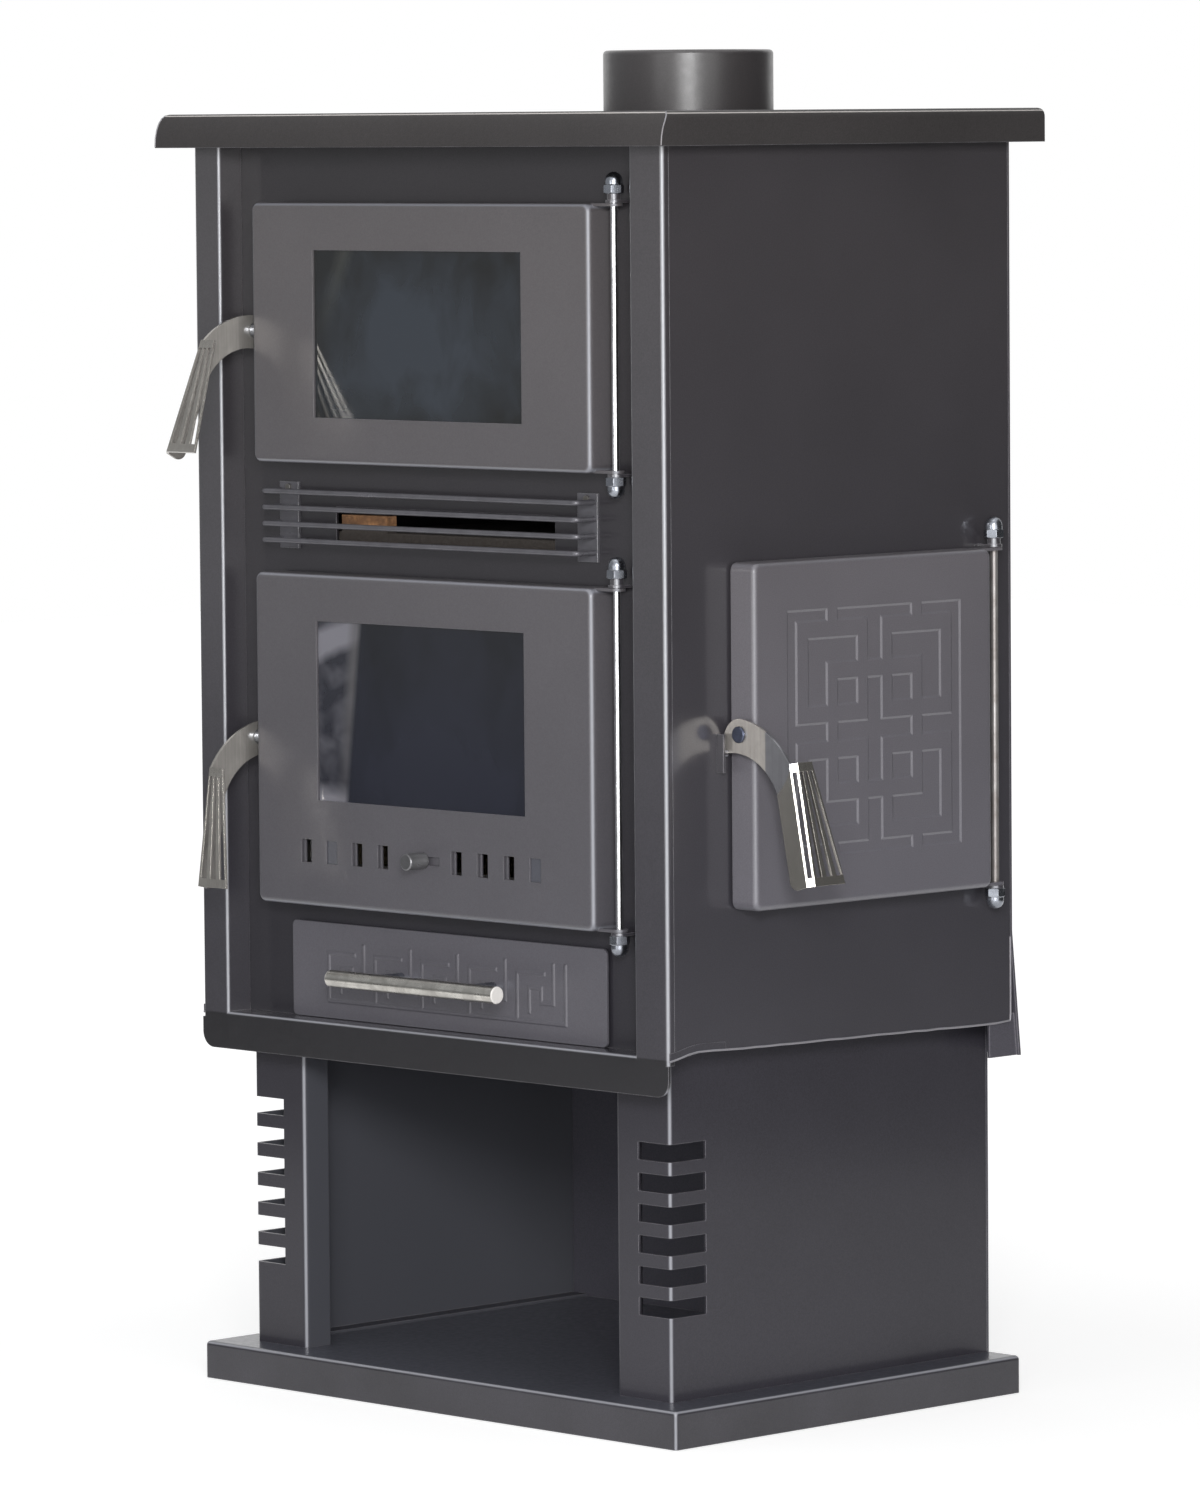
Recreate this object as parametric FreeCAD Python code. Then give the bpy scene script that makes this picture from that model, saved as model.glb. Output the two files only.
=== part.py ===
import FreeCAD, Part

import math
import os

# A small free-standing wood-burning cooker: folded steel casing with a wood store below,
# an oven door and a fire door in front, a fuel door in the right side, an ash drawer,
# and a hob with a flue collar. Millimetres, +Z up, +Y to the rear.
# The origin is the middle of the casing's plan, on the floor.

# ---- sheet and running clearances ----
sheet = 2.0
fold_radius = 3.5
window_edge_radius = 3.0  # round the front frame's window
edge_break = 1.0          # on the air knob's tip and the drawer bar's ends
flat_gap = 0.3            # between faces that pass each other
pin_clearance = 0.06      # radial, round rods and bolts
same_length = 0.001       # two lengths this close are taken as one
same_place = 0.01         # for telling on which side of a plane an edge lies

# ---- casing ----
casing_width = 467.4
casing_depth = 339.0
side_drop_front = 0.4     # side's lower edge below the body floor, in front
side_drop_rear = 6.0      # and at the rear
rear_flare_rise = 58.0    # start of the rear panel's flare above the body floor
rear_flare_drop = 30.0    # its lower edge below the body floor
rear_flare_out = 8.6
rear_cheek_depth = 21.0   # the flare's side cheeks, folded forward below the casing

# ---- front frame and recessed front panel ----
frame_rail_drop = 3.0     # rail's top below the body floor
frame_rail_height = 26.4
frame_corner_radius = 11.0
frame_wrap = 6.0          # how far the frame's outer edge turns along the side
frame_wrap_drop = 5.0     # lower end of that turn below the rail's top
stile_left = 26.7
stile_right = 32.2
recess_depth = 21.5
top_margin = 58.5         # from the oven door to the hob

# ---- hob ----
hob_thickness = 3.0
hob_rim = 23.4
hob_overhang_side = 18.6
hob_overhang_front = 19.0
hob_overhang_rear = 16.5
nose_radius = 34.0        # bull-nosed front, from the rim's face up
nose_angle = 37.0         # how far that large radius turns
crest_radius = 4.0        # from there on to the flat top
rim_edge_radius = 6.0
rim_rear_radius = 2.0
plate_width = 330.0
plate_depth = 140.0
plate_thickness = 8.0
plate_front_margin = 38.0  # from the casing's front to the cooking plate
plate_gap = 0.8
plate_corner = 14.0
ledge_width = 9.0
ring_lid_radius = 52.0
ring_lid_groove = 1.6

# ---- flue collar ----
flue_radius = 60.0
flue_wall = 4.0
flue_height = 42.5
flue_rear_margin = 79.3   # from the casing's rear to the flue's middle
flue_lip = 3.0

# ---- plinth and wood store ----
plinth_height = 26.2
plinth_out_side = 3.3     # beyond the casing
plinth_in_front = 1.1     # behind the casing's front
plinth_out_rear = 3.5
plinth_fold_radius = 3.0
stiffener_half = 20.0     # channel under the plinth's middle
store_height = 240.8
store_in_side = 25.1      # inside the casing
store_in_front = 25.7
store_out_rear = 1.3
post_width = 52.0
post_return = 23.0
louvre_count = 6
louvre_height = 12.0
louvre_pitch = 21.2
louvre_drop = 65.4        # top louvre below the body floor
louvre_front_run = 30.5
louvre_side_run = 34.0
store_flange = 14.0

# ---- doors, shared by all three ----
door_depth = 22.0
door_gap = 2.0            # from a door's rim to its panel
door_corner = 6.0
door_edge = 3.8
opening_inset = 17.0      # from a door's edge to the hole that it covers
liner_thickness = 1.5
liner_setback = 8.5       # from the panel to the liner's back
seal_width = 9.0
seal_inset = 3.0
glass_thickness = 4.0
glass_overlap = 8.0
glass_frame_width = 6.0
glass_frame_thickness = 1.6

# ---- front doors ----
door_left_margin = 35.5   # from the frame's window
door_right_margin = 35.8
front_hinge_reach = 11.8
fire_door_rise = 13.5     # above the ash drawer
fire_door_height = 232.0
doors_apart = 77.0        # from the fire door's top to the oven door
oven_door_height = 181.0
glass_left_margin = 63.5  # from the door's edge to the glass seen
glass_right_margin = 65.7
oven_glass_bottom_margin = 32.0
oven_glass_top_margin = 33.0
fire_glass_bottom_margin = 74.5
fire_glass_top_margin = 32.5

# ---- fuel door in the right side ----
fuel_front_margin = 60.1  # from the casing's front
fuel_rear_margin = 45.3
fuel_door_rise = 15.0     # above the fire door's lower edge
fuel_door_height = 234.0
fuel_hinge_reach = 16.3
fret_depth = 0.8
fret_slope = 1.6

# ---- hinges ----
hinge_standoff = 11.0     # rod centre from the panel
rod_radius = 2.7
lug_thickness = 2.0
lug_bush_radius = 4.6     # short bush on each upper lug
lug_bush_height = 4.2
ear_half_width = 5.8
nut_across_flats = 12.2
nut_hex_height = 6.2
nut_dome_radius = 5.9     # also where the hexagon's chamfers start
nut_dome_height = 8.4

# ---- lever handles ----
lever_thickness = 2.0
lever_spacer = 5.0
lever_pivot_out = 16.4    # pivot from the panel
lever_bolt_radius = 3.0
lever_spacer_radius = 5.5
lever_head_radius = 5.6
lever_head_height = 1.8
lever_nut_height = 2.0
grip_facet = 4.2          # bevelled fold between the arm and the grip, each way
grip_width_top = 13.5
grip_width_bottom = 28.8
grip_slots = 3
grip_slot_share = 0.56    # of the width that a slot and its rib take
grip_slot_end = 6.0
facet_slot_half = 1.5
oven_lever_rise = 91.5    # above the door's lower edge
fire_lever_rise = 115.5
fuel_lever_rise = 119.4
oven_lever_lift = 12.5    # degrees that each lever rests above the lowest one
fire_lever_lift = -2.8
fuel_lever_lift = 0.0
keeper_height = 26.0
keeper_out = 6.6
keeper_reach = 3.2        # from the keeper to the lever's tail
keeper_peg_radius = 2.4

# ---- air slide in the fire door ----
air_slot_width = 10.6
air_slide_slot_width = 8.4
air_slot_height = 16.2
air_slot_pitch = 26.0
air_left_margin = 51.2    # from the door's edge to the first slot's centre
air_right_margin = 56.0   # from the last slot's centre to the door's edge
air_slots_each = 4
air_rise = 38.5           # slots' centre above the door's lower edge
air_travel = 13.0
air_slide_height = 30.0
air_slide_thickness = 1.5
air_slide_margin = 6.0
air_guide_height = 4.6
air_guide_lip = 3.4
air_knob_right = 1.4      # of the door's middle
air_knob_radius = 5.8
air_knob_length = 16.5
air_shank_radius = 2.5
air_shank_gap = 0.5

# ---- grille between the front doors ----
grille_wires = 4
grille_pitch = 11.4
grille_rise = 22.4        # lowest wire above the fire door
grille_left_margin = 2.4  # from the door's edge
grille_right_margin = 16.7
grille_wire_radius = 1.9
grille_out = 19.2
grille_bend = 3.6
grille_strip_width = 19.0
grille_strip_shift = 2.0  # left strip, to the right of the wires' ends
grille_strip_rise = 16.0  # above the fire door
grille_strip_height = 46.5
grille_rivet_radius = 2.4
grille_rivet_inset = 3.8
grille_rivet_height = 1.6
vent_left_margin = 59.5   # from the door's edge
vent_right_margin = 58.6
vent_rise = 22.4          # above the fire door
vent_height = 23.6

# ---- ash drawer ----
drawer_side_margin = 76.2  # from the casing's side
drawer_height = 67.2
drawer_out = 4.0          # its face in front of the panel
drawer_inset = 6.0        # from the front's edge to the hole that it covers
drawer_corner = 4.0
drawer_box_gap = 1.6
drawer_wall = 1.5
drawer_length = 244.0
drawer_bar_radius = 6.0
drawer_bar_half = 84.0
drawer_bar_out = 32.0
drawer_bar_rise = 33.2    # above the drawer's lower edge
drawer_post_radius = 4.0
drawer_post_inset = 38.0  # from the bar's end
runner_height = 2.0
runner_width = 12.0
key_left_margin = 37.5    # from the drawer's edge
key_pitch = 47.5
key_units = 5
key_rise_above = 12.7     # above the drawer's lower edge
key_height = 40.0
key_line = 3.6
key_raise = 0.7
key_slope = 1.0
key_columns = 4           # that a unit's width is divided into
key_rows = 6
key_top_run = 2.2         # columns that the top line runs over
key_hook_drop = 1.5       # rows from the top line to the hook below it

# ---- oven ----
oven_length = 246.0
oven_ledge = 8.0
oven_ledge_thickness = 2.5
oven_ledge_rise = 81.0    # above the oven door's lower edge
rack_wire = 2.0
rack_wires = 13
rack_gap = 4.0
rack_end = 4.0            # from the rails' ends to the outer cross wires
rack_sink = 2.6           # cross wires above the rails' axes

# ---- firebox ----
firebox_left_margin = 57.7   # from the casing's side
firebox_right_margin = 37.7
firebox_rear_margin = 39.5
firebox_rise = 4.5        # above the ash drawer
firebox_drop = 2.0        # its top below the fuel door's top
firebox_wall = 3.0
smoke_hole_width = 220.0
smoke_hole_depth = 55.0
brick_thickness = 28.0
brick_height = 170.0
grate_width = 200.0
grate_depth = 170.0
grate_thickness = 12.0
grate_lip = 8.0
grate_margin = 16.0       # from the grate's edge to its slots
grate_slot = 8.0
grate_pitch = 18.0
grate_y = -10.0
channel_wall = 2.0
board_thickness = 14.0
board_front_gap = 0.6
board_end_inset = 3.0      # raised end, from the vent's left edge
board_end_width = 46.0
board_end_depth = 9.0
board_end_height = 11.5

# ---- places worked out from the sizes above, in plan ----
side_x = casing_width / 2
front_y = -casing_depth / 2
rear_y = casing_depth / 2
panel_y = front_y + recess_depth
inner_x = side_x - sheet
panel_back = panel_y + sheet
window_left = -side_x + stile_left
window_right = side_x - stile_right
plinth_half_width = side_x + plinth_out_side
plinth_front = front_y + plinth_in_front
plinth_rear = rear_y + plinth_out_rear
store_half_width = side_x - store_in_side
store_front = front_y + store_in_front
store_rear = rear_y + store_out_rear
door_left = window_left + door_left_margin
door_right = window_right - door_right_margin
glass_left = door_left + glass_left_margin
glass_right = door_right - glass_right_margin
fuel_door_front = front_y + fuel_front_margin
fuel_door_rear = rear_y - fuel_rear_margin
air_slots_left = door_left + air_left_margin
air_slots_right = door_right - air_right_margin - (air_slots_each - 1) * air_slot_pitch
air_knob_x = (door_left + door_right) / 2 + air_knob_right
grille_left = door_left + grille_left_margin
grille_right = door_right - grille_right_margin
vent_left = door_left + vent_left_margin
vent_right = door_right - vent_right_margin
drawer_half_width = side_x - drawer_side_margin
drawer_post_x = drawer_bar_half - drawer_post_inset
key_left = -drawer_half_width + key_left_margin
flue_y = rear_y - flue_rear_margin
firebox_left = -side_x + firebox_left_margin
firebox_right = side_x - firebox_right_margin
firebox_rear = rear_y - firebox_rear_margin
smoke_front = firebox_rear - firebox_wall - brick_thickness - smoke_hole_depth
skin_back = -(door_gap + door_depth - sheet)
face_out = -(door_gap + door_depth)

# ---- places worked out, from the floor up ----
floor_height = plinth_height + store_height
floor_top = floor_height + sheet
side_bottom_front = floor_height - side_drop_front
side_bottom_rear = floor_height - side_drop_rear
rear_flare_top = floor_height + rear_flare_rise
rear_flare_bottom = floor_height - rear_flare_drop
louvre_top = floor_height - louvre_drop
frame_rail_top = floor_height - frame_rail_drop
frame_bottom = frame_rail_top - frame_rail_height
frame_wrap_bottom = frame_rail_top - frame_wrap_drop
drawer_bottom = frame_rail_top + flat_gap
drawer_top = drawer_bottom + drawer_height
drawer_bar_height = drawer_bottom + drawer_bar_rise
key_bottom = drawer_bottom + key_rise_above
firebox_bottom = drawer_top + firebox_rise
fire_door_bottom = drawer_top + fire_door_rise
fire_door_top = fire_door_bottom + fire_door_height
fuel_door_bottom = fire_door_bottom + fuel_door_rise
fuel_door_top = fuel_door_bottom + fuel_door_height
firebox_top = fuel_door_top - firebox_drop
air_height = fire_door_bottom + air_rise
grille_bottom = fire_door_top + grille_rise
grille_strip_bottom = fire_door_top + grille_strip_rise
grille_strip_top = grille_strip_bottom + grille_strip_height
vent_bottom = fire_door_top + vent_rise
vent_top = vent_bottom + vent_height
oven_door_bottom = fire_door_top + doors_apart
oven_door_top = oven_door_bottom + oven_door_height
oven_ledge_height = oven_door_bottom + oven_ledge_rise
casing_top = oven_door_top + top_margin
hob_height = casing_top + hob_thickness

through = 50.0            # how far a cutting tool runs past its work

UP = FreeCAD.Vector(0, 0, 1)

front_doors = {
    "left": door_left,
    "right": door_right,
    "reach": front_hinge_reach,
}
oven_door = dict(front_doors, bottom=oven_door_bottom, top=oven_door_top,
                 lever=oven_door_bottom + oven_lever_rise, lift=oven_lever_lift,
                 glass=(glass_left, glass_right, oven_door_bottom + oven_glass_bottom_margin,
                        oven_door_top - oven_glass_top_margin))
fire_door = dict(front_doors, bottom=fire_door_bottom, top=fire_door_top,
                 lever=fire_door_bottom + fire_lever_rise, lift=fire_lever_lift,
                 glass=(glass_left, glass_right, fire_door_bottom + fire_glass_bottom_margin,
                        fire_door_top - fire_glass_top_margin))
fuel_door = {
    "left": fuel_door_front,
    "right": fuel_door_rear,
    "bottom": fuel_door_bottom,
    "top": fuel_door_top,
    "reach": fuel_hinge_reach,
    "lever": fuel_door_bottom + fuel_lever_rise,
    "lift": fuel_lever_lift,
    "glass": None,
}


# ---- small helpers ----
def vec(x, y, z):
    return FreeCAD.Vector(x, y, z)


def block(x0, x1, y0, y1, z0, z1):
    return Part.makeBox(x1 - x0, y1 - y0, z1 - z0, vec(x0, y0, z0))


def rod(start, end, radius):
    along = end - start
    return Part.makeCylinder(radius, along.Length, start, along)


def prism(points, along):
    wire = Part.makePolygon(points + [points[0]])
    return Part.Face(wire).extrude(along)


def fuse(shapes):
    return shapes[0].multiFuse(shapes[1:]).removeSplitter()


def cut(shape, tools):
    return shape.cut(Part.makeCompound(tools))


def edges_at(shape, test):
    """Edges whose ends both pass the test."""
    return [e for e in shape.Edges if all(test(v.Point) for v in e.Vertexes)]


def rings_at(shape, radius, test):
    """Full circles of that radius that pass the test."""
    return [e for e in edges_at(shape, test) if near(e.Length, 2 * math.pi * radius)]


def near(a, b):
    return abs(a - b) < same_length


def save(shape, name):
    os.makedirs("parts", exist_ok=True)
    shape.exportStep("parts/" + name + ".step")


def rounded_slab(x0, x1, y0, y1, z0, z1, radius):
    """A block whose four edges along Y are rounded."""
    slab = block(x0, x1, y0, y1, z0, z1)
    corners = [e for e in slab.Edges if near(abs(e.tangentAt(e.FirstParameter).y), 1.0)]
    return slab.makeFillet(radius, corners)


def on_front(shape):
    """From a door's own frame, with its panel at y = 0, to the front panel."""
    return shape.translated(vec(0, panel_y, 0))


def on_side(shape):
    """From a door's own frame to the right side panel."""
    turned = shape.rotated(vec(0, 0, 0), UP, 90)
    return turned.translated(vec(side_x, 0, 0))


# ---- the hob's rim ----
def rim_profile(front, rear, shrink):
    """Side view of the hob: front edge bull-nosed in two radii, small radius at the rear."""
    turn = math.radians(nose_angle)
    nose_y = front + nose_radius
    crest_y = nose_y - (nose_radius - crest_radius) * math.cos(turn)
    crest_z = hob_height - crest_radius
    nose_z = crest_z - (nose_radius - crest_radius) * math.sin(turn)

    def on_arc(y, z, radius, angle):
        reach = radius - shrink
        return vec(0, y - reach * math.cos(angle), z + reach * math.sin(angle))

    start = on_arc(nose_y, nose_z, nose_radius, 0)
    change = on_arc(nose_y, nose_z, nose_radius, turn)
    crest = on_arc(crest_y, crest_z, crest_radius, math.pi / 2)
    corner = vec(0, rear - shrink - rim_rear_radius, hob_height - shrink)
    bend = vec(0, corner.y + rim_rear_radius * math.sin(math.pi / 4),
               corner.z - rim_rear_radius * (1 - math.cos(math.pi / 4)))
    shoulder = vec(0, rear - shrink, corner.z - rim_rear_radius)
    low = hob_height - hob_rim - (through if shrink else 0)
    edges = [
        Part.makeLine(vec(0, start.y, low), start),
        Part.Arc(start, on_arc(nose_y, nose_z, nose_radius, turn / 2), change).toShape(),
        Part.Arc(change, on_arc(crest_y, crest_z, crest_radius, (turn + math.pi / 2) / 2),
                 crest).toShape(),
        Part.makeLine(crest, corner),
        Part.Arc(corner, bend, shoulder).toShape(),
        Part.makeLine(shoulder, vec(0, shoulder.y, low)),
        Part.makeLine(vec(0, shoulder.y, low), vec(0, start.y, low)),
    ]
    return Part.Wire(edges)


def rim_solid(half, front, rear, shrink):
    """The hob's outer shape without its holes, made smaller all round by shrink."""
    wide, top = half - shrink, hob_height - shrink
    length = Part.Face(rim_profile(front, rear, shrink))
    length = length.translated(vec(-half - through, 0, 0)).extrude(vec(2 * (half + through), 0, 0))
    low = hob_height - hob_rim - (through if shrink else 0)
    across = block(-wide, wide, front - through, rear + through, low, top)
    ridge = edges_at(across, lambda p: near(p.z, top) and near(abs(p.x), wide))
    across = across.makeFillet(rim_edge_radius - shrink, [e for e in ridge if near(
        e.Vertexes[0].X, e.Vertexes[-1].X)])
    return length.common(across)


# ---- plinth and wood store ----
def plinth_solid(shrink):
    """The plinth's outer shape, made smaller by shrink all round, above and at its folds."""
    half, top = plinth_half_width - shrink, plinth_height - shrink
    low = -through if shrink else 0
    tray = block(-half, half, plinth_front + shrink, plinth_rear - shrink, low, top)
    folds = [e for e in tray.Edges if not all(near(v.Z, low) for v in e.Vertexes)]
    return tray.makeFillet(plinth_fold_radius - shrink, folds)


def make_plinth():
    return plinth_solid(0).cut(plinth_solid(sheet))


def make_plinth_stiffener():
    """Channel under the plinth's middle, its web on the floor, clear of the rounded folds."""
    front = plinth_front + plinth_fold_radius + flat_gap
    rear = plinth_rear - plinth_fold_radius - flat_gap
    top = plinth_height - sheet
    rail = block(-stiffener_half, stiffener_half, front, rear, 0, top)
    return rail.cut(block(-stiffener_half + sheet, stiffener_half - sheet, front - through,
                          rear + through, sheet, top + through))


def make_store_side():
    """Right-hand wall and corner post of the wood store, folded from one sheet."""
    outer = store_half_width
    inner = outer - post_width
    base = plinth_height
    post_end = store_front + post_return
    post = block(inner, outer, store_front, post_end, base, floor_height)
    folds = edges_at(post, lambda p: near(p.y, store_front))
    post = post.makeFillet(fold_radius, [e for e in folds if near(e.Length, floor_height - base)])
    hollow = block(inner + sheet, outer - sheet, store_front + sheet, post_end + through,
                   base, floor_height)
    folds = edges_at(hollow, lambda p: near(p.y, store_front + sheet))
    hollow = hollow.makeFillet(fold_radius - sheet,
                               [e for e in folds if near(e.Length, floor_height - base)])
    wall_end = store_rear - sheet
    wall = block(outer - sheet, outer, post_end, wall_end, base, floor_height)
    foot = block(outer - sheet - store_flange, outer - sheet, post_end, wall_end,
                 base, base + sheet)
    head = block(outer - sheet - store_flange, outer - sheet, post_end, wall_end,
                 floor_height - sheet, floor_height)
    side = fuse([post.cut(hollow), wall, foot, head])
    louvres = []
    for index in range(louvre_count):
        top = louvre_top - index * louvre_pitch
        louvres.append(block(outer - louvre_front_run, outer + through, store_front - through,
                             store_front + louvre_side_run, top - louvre_height, top))
    return cut(side, louvres)


def make_store_back():
    return block(-store_half_width, store_half_width, store_rear - sheet, store_rear,
                 plinth_height, floor_height)


# ---- casing ----
def make_body_floor():
    return block(-inner_x, inner_x, panel_back, rear_y - sheet, floor_height, floor_top)


def make_side_panel(x0, x1):
    front = front_y + frame_wrap
    back = rear_y - sheet
    outline = [vec(x0, front, side_bottom_front), vec(x0, back, side_bottom_rear),
               vec(x0, back, casing_top), vec(x0, front, casing_top)]
    return prism(outline, vec(x1 - x0, 0, 0))


def make_right_panel():
    panel = make_side_panel(inner_x, side_x)
    hole = block(inner_x - through, side_x + through,
                 fuel_door_front + opening_inset, fuel_door_rear - opening_inset,
                 fuel_door_bottom + opening_inset, fuel_door_top - opening_inset)
    return panel.cut(hole)


def rear_cheek(inner, outer):
    """Cheek folded forward from the flare, below the body floor."""
    front = rear_y - rear_cheek_depth
    top = floor_height - flat_gap
    lean = rear_flare_out / (rear_flare_top - rear_flare_bottom)
    outline = [vec(inner, front, rear_flare_bottom),
               vec(inner, rear_y + rear_flare_out - sheet / 2, rear_flare_bottom),
               vec(inner, rear_y + (rear_flare_top - top) * lean - sheet / 2, top),
               vec(inner, front, top)]
    return prism(outline, vec(outer - inner, 0, 0))


def make_rear_panel():
    out = rear_y + rear_flare_out
    outline = [vec(-side_x, rear_y - sheet, casing_top), vec(-side_x, rear_y, casing_top),
               vec(-side_x, rear_y, rear_flare_top), vec(-side_x, out, rear_flare_bottom),
               vec(-side_x, out - sheet, rear_flare_bottom),
               vec(-side_x, rear_y - sheet, rear_flare_top)]
    outer = inner_x - flat_gap
    inner = outer - sheet
    return fuse([prism(outline, vec(casing_width, 0, 0)), rear_cheek(inner, outer),
                 rear_cheek(-outer, -inner)])


def make_front_frame():
    wrap_end = front_y + frame_wrap
    shell = block(-side_x, side_x, front_y, wrap_end, frame_wrap_bottom, casing_top)
    tall = casing_top - frame_wrap_bottom
    folds = edges_at(shell, lambda p: near(p.y, front_y))
    shell = shell.makeFillet(fold_radius, [e for e in folds if near(e.Length, tall)])
    hollow = block(-inner_x, inner_x, front_y + sheet, wrap_end + through,
                   frame_wrap_bottom, casing_top)
    folds = edges_at(hollow, lambda p: near(p.y, front_y + sheet))
    hollow = hollow.makeFillet(fold_radius - sheet, [e for e in folds if near(e.Length, tall)])
    apron = block(-side_x, side_x, front_y, front_y + sheet, frame_bottom, frame_wrap_bottom)
    corners = edges_at(apron, lambda p: near(p.z, frame_bottom))
    apron = apron.makeFillet(frame_corner_radius, [e for e in corners if near(e.Length, sheet)])
    returns = block(window_left - sheet, window_right + sheet, front_y, panel_y,
                    frame_rail_top - sheet, casing_top)
    frame = fuse([shell.cut(hollow), apron, returns])
    frame = frame.cut(block(window_left, window_right, front_y - through, panel_y + through,
                            frame_rail_top, casing_top + through))
    inner_edges = edges_at(frame, lambda p: near(p.y, front_y)
                           and p.z > frame_rail_top - same_place
                           and window_left - same_place < p.x < window_right + same_place)
    inner_edges = [e for e in inner_edges if e.Length > recess_depth]
    return frame.makeFillet(window_edge_radius, inner_edges)


def panel_holes():
    """Holes in the front panel: oven, fire, vent and ash drawer, as (left, right, bottom, top)."""
    holes = []
    for door in (oven_door, fire_door):
        holes.append((door["left"] + opening_inset, door["right"] - opening_inset,
                      door["bottom"] + opening_inset, door["top"] - opening_inset))
    holes.append((vent_left, vent_right, vent_bottom, vent_top))
    holes.append((-drawer_half_width + drawer_inset, drawer_half_width - drawer_inset,
                  floor_top + runner_height - flat_gap, drawer_top - drawer_inset))
    return holes


def make_front_panel():
    panel = block(-inner_x, inner_x, panel_y, panel_back, frame_rail_top, casing_top)
    tools = [block(left, right, panel_y - through, panel_back + through, bottom, top)
             for left, right, bottom, top in panel_holes()]
    return cut(panel, tools)


# ---- hob ----
def plate_bounds():
    front = front_y + plate_front_margin
    return -plate_width / 2, plate_width / 2, front, front + plate_depth


def rounded_plate(bounds, grow, z0, z1):
    x0, x1, y0, y1 = bounds
    plate = block(x0 - grow, x1 + grow, y0 - grow, y1 + grow, z0, z1)
    corners = [e for e in plate.Edges if near(e.Length, z1 - z0)]
    return plate.makeFillet(plate_corner + grow, corners)


def make_hob_top():
    half = side_x + hob_overhang_side
    front = front_y - hob_overhang_front
    rear = rear_y + hob_overhang_rear
    hob = rim_solid(half, front, rear, 0).cut(rim_solid(half, front, rear, hob_thickness))
    bounds = plate_bounds()
    seat = hob_height - plate_thickness
    ledge = rounded_plate(bounds, plate_gap + sheet, seat - sheet, casing_top)
    ledge = ledge.cut(rounded_plate(bounds, plate_gap, seat, casing_top))
    hob = hob.cut(rounded_plate(bounds, plate_gap, seat, hob_height + through))
    hob = hob.fuse(ledge).removeSplitter()
    tools = [rounded_plate(bounds, -ledge_width, seat - through, seat + through),
             rod(vec(0, flue_y, casing_top - through), vec(0, flue_y, hob_height + through),
                 flue_radius - flue_wall)]
    return cut(hob, tools)


def make_cooking_plate():
    bounds = plate_bounds()
    plate = rounded_plate(bounds, 0, hob_height - plate_thickness, hob_height)
    middle_y = (bounds[2] + bounds[3]) / 2
    groove = rod(vec(0, middle_y, hob_height - ring_lid_groove),
                 vec(0, middle_y, hob_height + through), ring_lid_radius + ring_lid_groove / 2)
    core = rod(vec(0, middle_y, hob_height - plate_thickness),
               vec(0, middle_y, hob_height + through), ring_lid_radius - ring_lid_groove / 2)
    return plate.cut(groove.cut(core))


def make_flue_collar():
    outer = rod(vec(0, flue_y, hob_height), vec(0, flue_y, hob_height + flue_height), flue_radius)
    lip = rings_at(outer, flue_radius, lambda p: near(p.z, hob_height + flue_height))
    outer = outer.makeFillet(flue_lip, lip)
    bore = rod(vec(0, flue_y, hob_height - through),
               vec(0, flue_y, hob_height + flue_height + through), flue_radius - flue_wall)
    return outer.cut(bore)


# ---- doors, in a frame with the panel at y = 0, the outside at -y and the hinge at +x ----
def hinge_point(door):
    return door["right"] + door["reach"], -hinge_standoff


def make_door_pan(door):
    left, right, bottom, top = door["left"], door["right"], door["bottom"], door["top"]
    pan = rounded_slab(left, right, face_out, -door_gap, bottom, top, door_corner)
    rim = edges_at(pan, lambda p: near(p.y, face_out))
    pan = pan.makeFillet(door_edge, rim)
    hollow = rounded_slab(left + sheet, right - sheet, skin_back, through,
                          bottom + sheet, top - sheet, door_corner - sheet)
    pan = pan.cut(hollow)
    hinge_x, hinge_y = hinge_point(door)
    ears = []
    for z0 in (bottom, top - sheet):
        tab = block(right - door_corner, hinge_x, hinge_y - ear_half_width,
                    hinge_y + ear_half_width, z0, z0 + sheet)
        tip = rod(vec(hinge_x, hinge_y, z0), vec(hinge_x, hinge_y, z0 + sheet), ear_half_width)
        ears.append(tab.fuse(tip))
    pan = fuse([pan] + ears)
    bore = rod(vec(hinge_x, hinge_y, bottom - through), vec(hinge_x, hinge_y, top + through),
               rod_radius + pin_clearance)
    pivot = rod(vec(left - through, -lever_pivot_out, door["lever"]),
                vec(left + through, -lever_pivot_out, door["lever"]), lever_bolt_radius)
    tools = [bore, pivot]
    if door["glass"]:
        x0, x1, z0, z1 = door["glass"]
        tools.append(block(x0, x1, face_out - through, skin_back + through, z0, z1))
    return cut(pan, tools)


def make_door_glass(door):
    x0, x1, z0, z1 = door["glass"]
    grow = glass_overlap
    return block(x0 - grow, x1 + grow, skin_back, skin_back + glass_thickness, z0 - grow, z1 + grow)


def make_glass_frame(door):
    x0, x1, z0, z1 = door["glass"]
    grow = glass_overlap + glass_frame_width
    back = skin_back + glass_thickness + glass_frame_thickness
    frame = block(x0 - grow, x1 + grow, skin_back, back, z0 - grow, z1 + grow)
    window = block(x0, x1, skin_back - through, back + through, z0, z1)
    return cut(frame, [window, make_door_glass(door)])


def make_door_liner(door):
    """The inner plate that carries the rope seal."""
    back = -liner_setback
    plate = block(door["left"] + sheet, door["right"] - sheet, back - liner_thickness, back,
                  door["bottom"] + sheet, door["top"] - sheet)
    corners = [e for e in plate.Edges if near(e.Length, liner_thickness)]
    plate = plate.makeFillet(door_corner - sheet, corners)
    if not door["glass"]:
        return plate
    x0, x1, z0, z1 = door["glass"]
    return plate.cut(block(x0, x1, back - through, back + through, z0, z1))


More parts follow.
